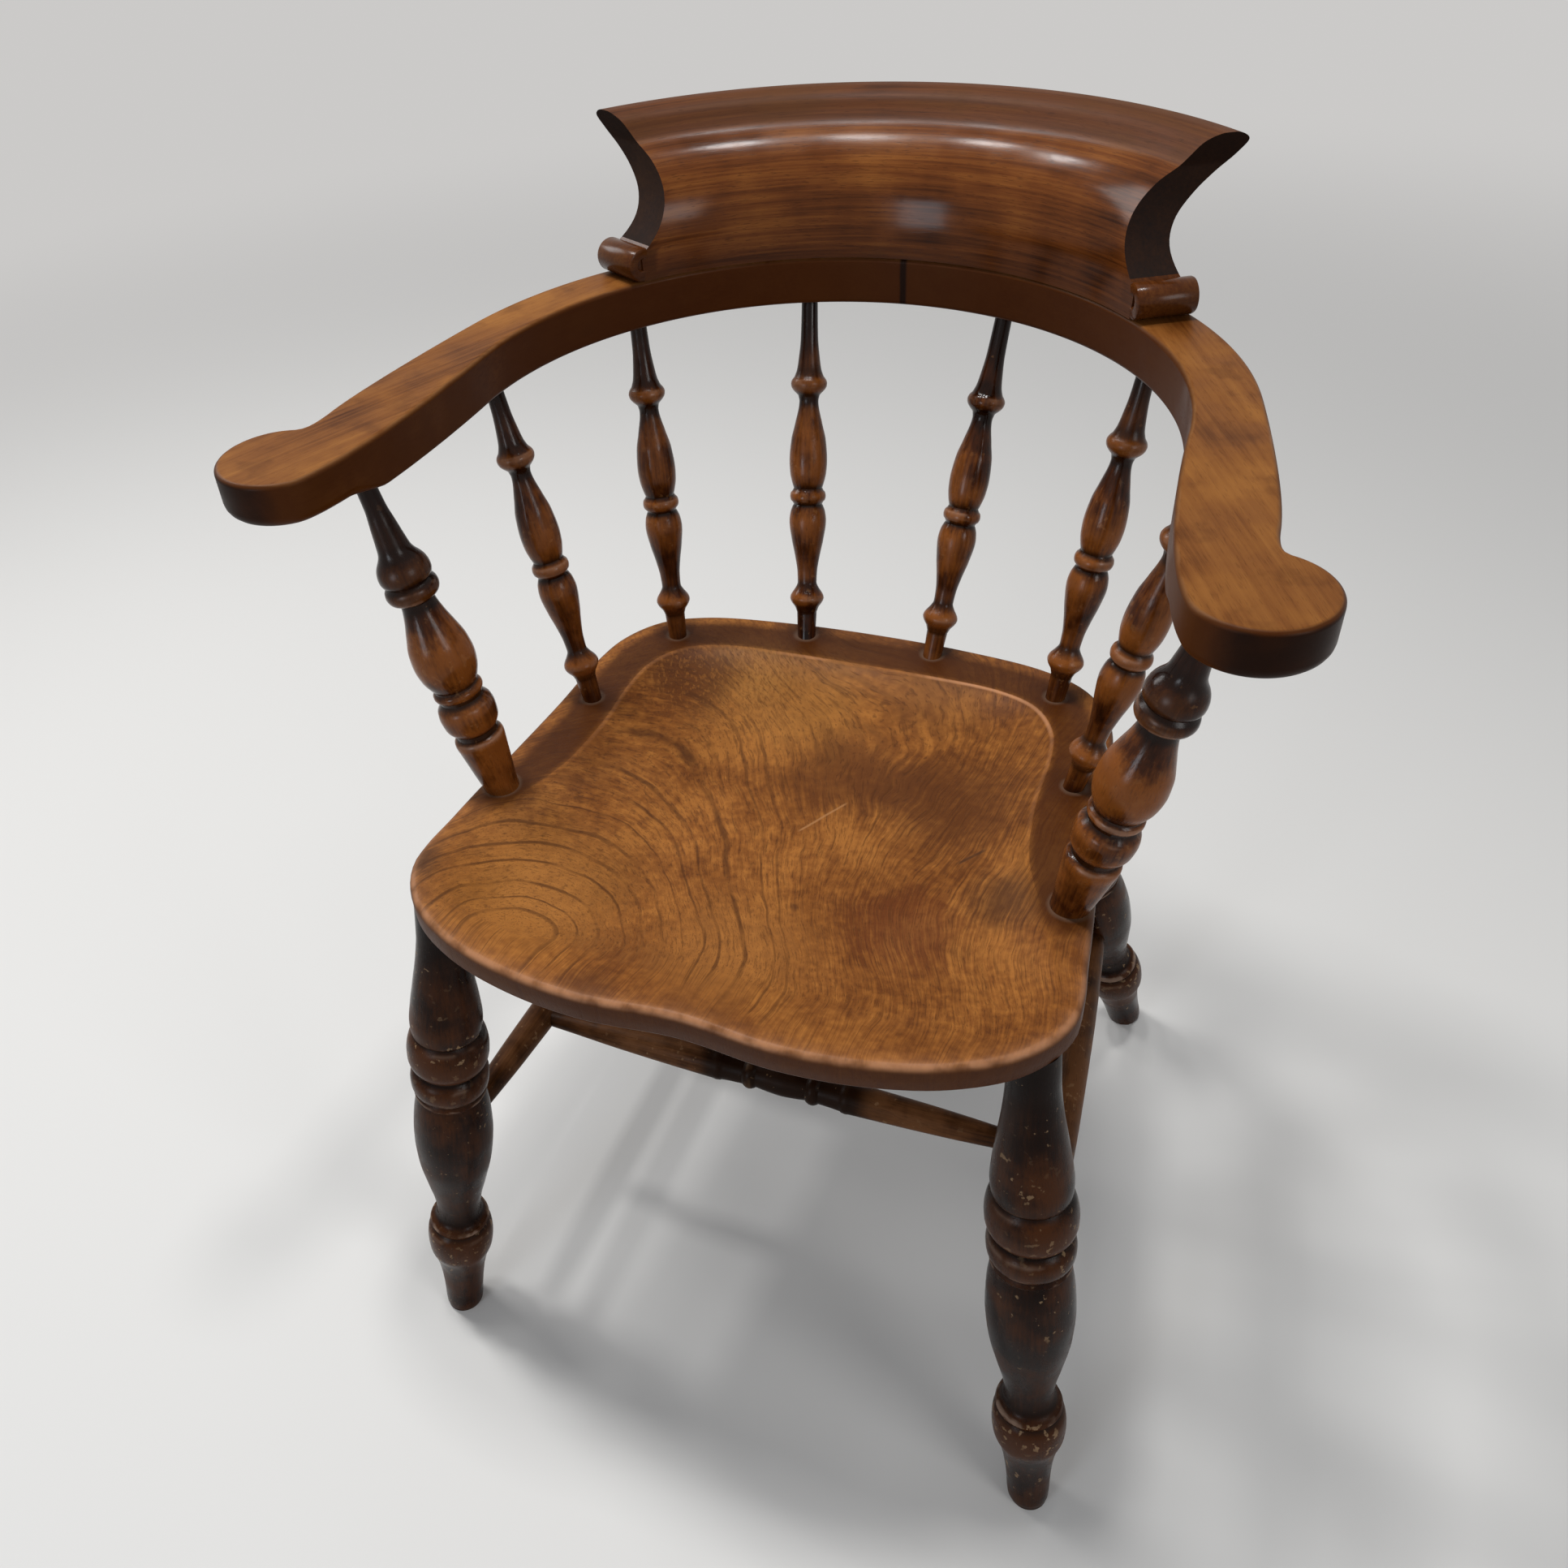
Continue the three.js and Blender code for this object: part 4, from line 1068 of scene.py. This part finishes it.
# Elm cut across its rings: arches at the front left, long lines to the right, coarse flecks at the back
def seatFinish(look):
    material, tree = newMaterial("seatWood")
    place = tree.objectPlace()
    x, y, z = tree.millimetres()
    sway = tree.noises(place, 8, 0)
    ripple = tree.noises(place, 32, 1)
    patchy = tree.noise(place, 17, 3)
    mottle = tree.noise(place, 170, 3)

    # The growth rings: u and v are measured from their centre, and the arches open out with v
    centreX, centreY = look["ringCentre"]
    u = x - centreX + (sway[0] - 0.5) * look["sway"] + (ripple[0] - 0.5) * look["ripple"]
    v = y - centreY + (sway[1] - 0.5) * look["sway"] + (ripple[1] - 0.5) * look["ripple"]
    aheadV = tree.maths("MAXIMUM", v, 0)
    rise = aheadV * 0.35 + tree.maths("TANH", aheadV * 0.0133) * 70
    u = u - tree.share(v, 60, 400, 0, 110) * tree.share(x, -70, 120)
    ring = tree.maths("SQRT", u * u + rise * rise)
    turn = tree.maths("ARCTAN2", rise, u)
    uneven = tree.wire("ShaderNodeTexNoise", {"W": ring * 0.035, "Scale": 1.0, "Detail": 2.0},
                       noise_dimensions="1D")
    bands = ring + uneven * look["ringWaver"]
    bold = tree.maths("COSINE", bands * (math.tau / look["boldSpacing"]))
    fine = tree.maths("COSINE", bands * (math.tau / look["fineSpacing"]))
    bold = tree.share(bold, 0.8, 1) * tree.share(ring, 150, 200, 1, 0.12) * tree.share(ring, 8, 30)
    bold = bold * tree.share(ripple[2] + patchy, 0.8, 1.15, 0.25, 1)
    fine = tree.share(fine, 0.1, 0.95) * tree.share(patchy + ripple[2], 0.85, 1.2, 0.1, 1)

    # Fibre, flecks and pores are stretched along the rings
    grainLine = tree.vector(ring, turn, z)
    fibre = tree.noise(tree.scaled(grainLine, (0.62, 6, 0.1)), 1, 5)
    flecks = tree.share(tree.noise(tree.scaled(grainLine, (0.85, 13, 0.1)), 1, 3), 0.54, 0.66)
    pores = tree.share(tree.noise(tree.scaled(grainLine, (1.9, 60, 0.3)), 1, 2), 0.55, 0.7)
    tree.ramp(fibre * 0.26 + patchy * 0.46 + mottle * 0.28,
              [(0.4, look["deep"]), (0.49, look["mid"]), (0.59, look["light"])])
    for centreX, centreY, radius, tint, strength in look["patches"]:
        away = tree.distance(x, y, (centreX, centreY)) + (patchy - 0.5) * radius + (fibre - 0.5) * radius
        tree.coat(tree.share(away, radius * 0.25, radius * 1.05, strength, 0), tint)
    coarse = tree.share(x, -60, 10, 1, 0) * tree.share(y, -20, 50)
    lumps = tree.noise(tree.scaled(tree.vector(x + y * 0.5, y - x * 0.5, z), (0.4, 0.17, 0.1)), 1, 2)
    tree.coat(coarse * tree.share(lumps, 0.48, 0.7) * 0.5, look["deep"])
    tree.coat(coarse * tree.share(lumps, 0.5, 0.32) * 0.36, look["light"])
    tree.coat(bold * look["boldShare"], look["dark"])
    tree.coat(fine * look["fineShare"], look["dark"])
    tree.coat(flecks * look["fleckShare"] * 0.6, look["dark"])
    tree.coat(pores * look["fleckShare"] * 0.7, look["dark"])
    marks = 0.0
    for start, end, width, tint in look["scratches"]:
        mark = scratchMark(tree, x, y, start, end, width, (ripple[2] - 0.5) * 3)
        marks = mark + marks
        tree.coat(mark * 0.7, tint)

    # Dirt on the rim and painted shade on the edge and underside, a pale line along the ridge and the front
    # edge that is partly wear and partly painted highlight, and darkening and dust round the uprights
    grime = tree.attribute("grime") + (patchy - 0.5) * 0.35
    tree.coat(tree.share(grime, 0.12, 1, 0, 0.9), look["dirtAndShade"])
    ridge = tree.attribute("ridge") * tree.share(sway[2] + (patchy - 0.5) * 0.5, 0.42, 0.6, 0.15, 1)
    tree.coat(ridge * 0.75, look["pale"])
    wear = tree.attribute("wear") * tree.share(tree.noise(place, 60, 3), 0.3, 0.62, 0.25, 1)
    tree.coat(wear * 0.62, look["pale"])
    onTop = tree.share(z, *look["topFrom"])
    mirroredX = tree.maths("ABSOLUTE", x)
    for footX, footY, radius in look["uprightFeet"]:
        away = tree.distance(mirroredX, y, (footX, footY)) + (patchy - 0.5) * 6
        tree.coat(tree.share(away, radius + 1, radius + 22, 0.8, 0) * onTop, look["dirtAndShade"])
        tree.coat(tree.share(away, radius, radius + 4, 0.3, 0) * onTop, look["dust"])
    height = patchy * 0.8 - bold * 0.35 - flecks * 0.25 - pores * 0.35 - marks * 1.2
    rough = tree.share(patchy + pores * 0.15, 0.32, 0.68, *look["roughness"])
    tree.polish(look, height, rough)
    return material


# Streaks, broad bands and pores, all drawn out along the log
def straightGrain(tree, place):
    streaks = tree.noise(tree.scaled(place, (520, 520, 13)), 1, 4)
    broad = tree.noise(tree.scaled(place, (75, 75, 4)), 1, 3)
    pores = tree.share(tree.noise(tree.scaled(place, (1500, 1500, 130)), 1, 2), 0.57, 0.7)
    return streaks, broad, pores


def bowFinish(look):
    material, tree = newMaterial("bowWood")
    place = tree.attribute("grain", "Vector")
    streaks, broad, pores = straightGrain(tree, place)
    blotches = tree.noise(place, 19, 3)
    cloudy = tree.noise(place, 42, 3)
    tree.ramp(streaks * 0.3 + broad * 0.3 + blotches * 0.4,
              [(0.32, look["dark"]), (0.48, look["mid"]), (0.66, look["light"])])
    tree.coat(tree.share(blotches * 0.6 + cloudy * 0.4, 0.53, 0.68, 0, 0.42), look["golden"])
    tree.coat(tree.share(cloudy, 0.46, 0.32, 0, 0.3), look["dark"])
    tree.coat(pores * 0.3, look["dark"])
    # The top's pale arris is partly wear and partly painted highlight
    wear = tree.attribute("wear") * tree.share(cloudy, 0.3, 0.6, 0.4, 1)
    tree.coat(tree.share(wear, 0.3, 0.9, 0, 0.5), look["pale"])
    # Painted shade darkens the sides, the underside and the fronts of the hands
    grime = tree.attribute("grime") + (blotches * 0.5 + cloudy * 0.5 - 0.5) * 0.8
    tree.coat(tree.share(grime, 0, 0.62, 0, 0.93), look["dark"])
    tree.coat(tree.share(grime, 0.68, 1.05, 0, 0.85), look["darkest"])
    fromSeam = tree.maths("ABSOLUTE", tree.millimetres()[0]) + (cloudy - 0.5) * look["seamWaver"]
    seam = tree.share(fromSeam, look["seamHalfWidth"] * 0.6, look["seamHalfWidth"] * 1.6, 1, 0)
    tree.coat(seam * 0.9, look["seam"])
    height = blotches * 0.8 + cloudy * 0.3 - pores * 0.4 - seam
    rough = tree.share(blotches + pores * 0.1, 0.35, 0.65, *look["roughness"])
    tree.polish(look, height, rough)
    return material


def crestFinish(look):
    material, tree = newMaterial("crestWood")
    place = tree.attribute("grain", "Vector")
    streaks, broad, pores = straightGrain(tree, place)
    blotches = tree.noise(place, 16, 3)
    tree.ramp(streaks * 0.32 + broad * 0.26 + blotches * 0.42,
              [(0.35, look["dark"]), (0.49, look["mid"]), (0.64, look["light"])])
    tree.coat(pores * 0.5, look["dark"])
    wear, grime, sawn = (tree.attribute(name) for name in ("wear", "grime", "sawn"))
    tree.coat(wear * tree.share(blotches * 0.6 + broad * 0.4, 0.4, 0.58, 0.25, 0.72), look["pale"])
    tree.coat(grime * tree.share(blotches, 0.35, 0.6, 0.3, 0.8), look["dark"])
    tree.coat(sawn * 0.9, look["sawn"])
    height = blotches * 0.5 + broad * 0.2 - pores * 0.3
    rough = tree.share(blotches + pores * 0.2, 0.35, 0.65, *look["roughness"])
    rough = rough + wear * look["lipDulling"] + sawn * look["sawnDulling"]
    tree.polish(look, height, rough)
    return material


# Turned pieces wear pale on their beads and feet and stay dark in their grooves; painted shade darkens the
# lengths in shade, and the pale bead edges are partly wear and partly painted highlight
def turnedFinish(name, look, onObject=False):
    material, tree = newMaterial(f"{name}Wood")
    place = tree.objectPlace() if onObject else tree.attribute("grain", "Vector")
    streaks, broad, pores = straightGrain(tree, place)
    blotches = tree.noise(place, 38, 3)
    wear = tree.attribute("wear")
    tree.ramp(wear * 0.4 + blotches * 0.9 + streaks * 0.35 + broad * 0.15,
              [(0.58, look["dark"]), (0.76, look["mid"]), (1, look["light"])])
    tree.coat(pores * 0.35, look["dark"])
    # Grime in the grooves and painted shade along the lengths in shade
    grime = tree.attribute("grime") + (blotches - 0.5) * 0.5
    tree.coat(tree.share(grime, 0.1, 0.85, 0, 0.9), look["dark"])
    # Pale bead edges, partly wear and partly painted highlight
    edge = tree.attribute("edge") * tree.share(tree.noise(place, 55, 2), 0.38, 0.62)
    tree.coat(tree.share(edge, 0.15, 0.9, 0, look["edgeShare"]), look["wornAndHighlit"])
    chips = tree.share(tree.noise(place, 190, 3) + wear * 0.12, 0.68, 0.73)
    chips = chips * tree.share(tree.noise(place, 22, 1), 0.44, 0.62, 0.08, look["chips"])
    tree.coat(chips, look["pale"])
    height = blotches * 0.8 - pores * 0.4 - chips * 0.8
    rough = tree.share(blotches + chips * 0.3 + pores * 0.1, 0.34, 0.66, *look["roughness"])
    tree.polish(look, height, rough)
    return material


finishes = {
    "seat": seatFinish(looks["seat"]),
    "bow": bowFinish(looks["bow"]),
    "crest": crestFinish(looks["crest"]),
    "dowel": turnedFinish("dowel", looks["dowel"], onObject=True),
}
for name in ("upright", "leg", "stretcher"):
    finishes[name] = turnedFinish(name, looks[name])
print("finishes mixed")

makeLegs()
makeUprights()
makeStretchers()
makeSeat()
makeArms()
makeCrest()
for name, node in nodes.items():
    if "dowel" in name:
        for slot in node.material_slots:
            slot.material = finishes["dowel"]

camera = {
    "place": (244.9, -729.303, 1053.2),
    "azimuth": 24.39,  # degrees, as the next two are
    "elevation": 39.76,
    "roll": -4.85,
    "focal": 1709.4,  # in pixels of the photo
    "frameSide": 1932,
    "middle": (876.7, 967.4),
    "sensor": 36,
    "clip": (0.05, 80),  # metres
}


def setCamera():
    data = bpy.data.cameras.new("viewpoint")
    data.sensor_width = camera["sensor"]
    data.lens = camera["focal"] / camera["frameSide"] * camera["sensor"]
    half = camera["frameSide"] / 2
    data.shift_x = (half - camera["middle"][0]) / camera["frameSide"]
    data.shift_y = (camera["middle"][1] - half) / camera["frameSide"]
    data.clip_start, data.clip_end = camera["clip"]
    azimuth, elevation, roll = (math.radians(camera[k]) for k in ("azimuth", "elevation", "roll"))
    back = Vector((
        math.sin(azimuth) * math.cos(elevation),
        -math.cos(azimuth) * math.cos(elevation),
        math.sin(elevation),
    ))
    level = (-back).cross(Vector((0, 0, 1))).normalized()
    upright = level.cross(-back)
    right = math.cos(roll) * level + math.sin(roll) * upright
    up = math.cos(roll) * upright - math.sin(roll) * level
    viewpoint = bpy.data.objects.new("viewpoint", data)
    bpy.context.scene.collection.objects.link(viewpoint)
    turn = Matrix((right, up, back)).transposed().to_4x4()
    viewpoint.matrix_world = Matrix.Translation(Vector(camera["place"]) * mm) @ turn
    bpy.context.scene.camera = viewpoint


setCamera()

# Floor and light, in metres and watts: a row of ceiling lamps and three soft lights low down
studio = {
    "floorSide": 60,
    "floorColour": (0.66, 0.65, 0.63),
    "floorRoughness": (0.8, 0.9),
    "farColour": (0.6, 0.59, 0.58),
    "farFrom": 1.1,
    "farTo": 3.4,
    "worldColour": (0.94, 0.96, 1.0),
    "worldStrength": 0.3,
    "ceiling": {"places": [(0.21, 0.13), (-0.24, -0.03), (-0.76, 0.1), (-1.23, 0.21)], "height": 2.6,
                "side": (0.17, 0.26), "watts": 12},
    "softLamps": [
        {"name": "front", "place": (-0.85, -2.3, 0.9), "aim": (0, 0, 0.6), "side": (0.65, 0.9), "watts": 12,
         "colour": (0.84, 0.91, 1.0)},
        {"name": "left", "place": (-2.0, 0.5, 1.9), "aim": (0, 0, 0.5), "side": (0.7, 1.0), "watts": 17},
        {"name": "right", "place": (2.1, -1.1, 1.5), "aim": (0, 0, 0.5), "side": (0.8, 0.8), "watts": 12},
    ],
}


# What the camera, metal and glass see is the pale surround; what lights the chair is the world itself
def seenDirectly(tree):
    path = tree.add("ShaderNodeLightPath")
    seen = Wire(tree, path.outputs["Is Camera Ray"])
    for other in ("Is Glossy Ray", "Is Transmission Ray"):
        seen = tree.maths("MAXIMUM", seen, Wire(tree, path.outputs[other]))
    return seen


def setFloor():
    selectNothing()
    bpy.ops.mesh.primitive_plane_add(size=studio["floorSide"], location=(0, 0, 0))
    floor = bpy.context.object
    floor.name = "floor"
    material, tree = newMaterial("paleFloor")
    place = tree.objectPlace()
    x, y, _ = tree.parts(place)
    rough = tree.share(tree.noise(place, 3, 3), 0.3, 0.7, *studio["floorRoughness"])
    near = tree.wire("ShaderNodeBsdfPrincipled", {
        "Base Color": (*studio["floorColour"], 1), "Roughness": rough, "Specular IOR Level": 0.1,
    })
    far = tree.wire("ShaderNodeEmission", {"Color": (*studio["farColour"], 1), "Strength": 1.0})
    away = tree.share(tree.distance(x, y, (0, 0)), studio["farFrom"], studio["farTo"])
    blend = tree.wire("ShaderNodeMixShader", {0: away * seenDirectly(tree), 1: near, 2: far})
    tree.add("ShaderNodeOutputMaterial", {"Surface": blend})
    dress(floor, material)


def setWorld():
    world = bpy.data.worlds.new("studio")
    bpy.context.scene.world = world
    tree = Tree(world)
    light = {"Color": (*studio["worldColour"], 1), "Strength": studio["worldStrength"]}
    light = tree.wire("ShaderNodeBackground", light)
    shown = tree.wire("ShaderNodeBackground", {"Color": (*studio["farColour"], 1), "Strength": 1.0})
    blend = tree.wire("ShaderNodeMixShader", {0: seenDirectly(tree), 1: light, 2: shown})
    tree.add("ShaderNodeOutputWorld", {"Surface": blend})


def setLamp(name, place, aim, side, watts, colour=(1, 1, 1)):
    data = bpy.data.lights.new(name, "AREA")
    data.shape = "RECTANGLE"
    data.size, data.size_y = side
    data.energy = watts
    data.color = colour
    lamp = bpy.data.objects.new(name, data)
    bpy.context.scene.collection.objects.link(lamp)
    lamp.location = place
    lamp.rotation_euler = (Vector(aim) - Vector(place)).to_track_quat("-Z", "Y").to_euler()


setFloor()
setWorld()
ceiling = studio["ceiling"]
for number, (x, y) in enumerate(ceiling["places"], 1):
    setLamp(f"ceiling{number}", (x, y, ceiling["height"]), (x, y, 0), ceiling["side"], ceiling["watts"])
for lamp in studio["softLamps"]:
    setLamp(**lamp)
bpy.context.scene.view_settings.view_transform = "Standard"
print("camera and studio set")
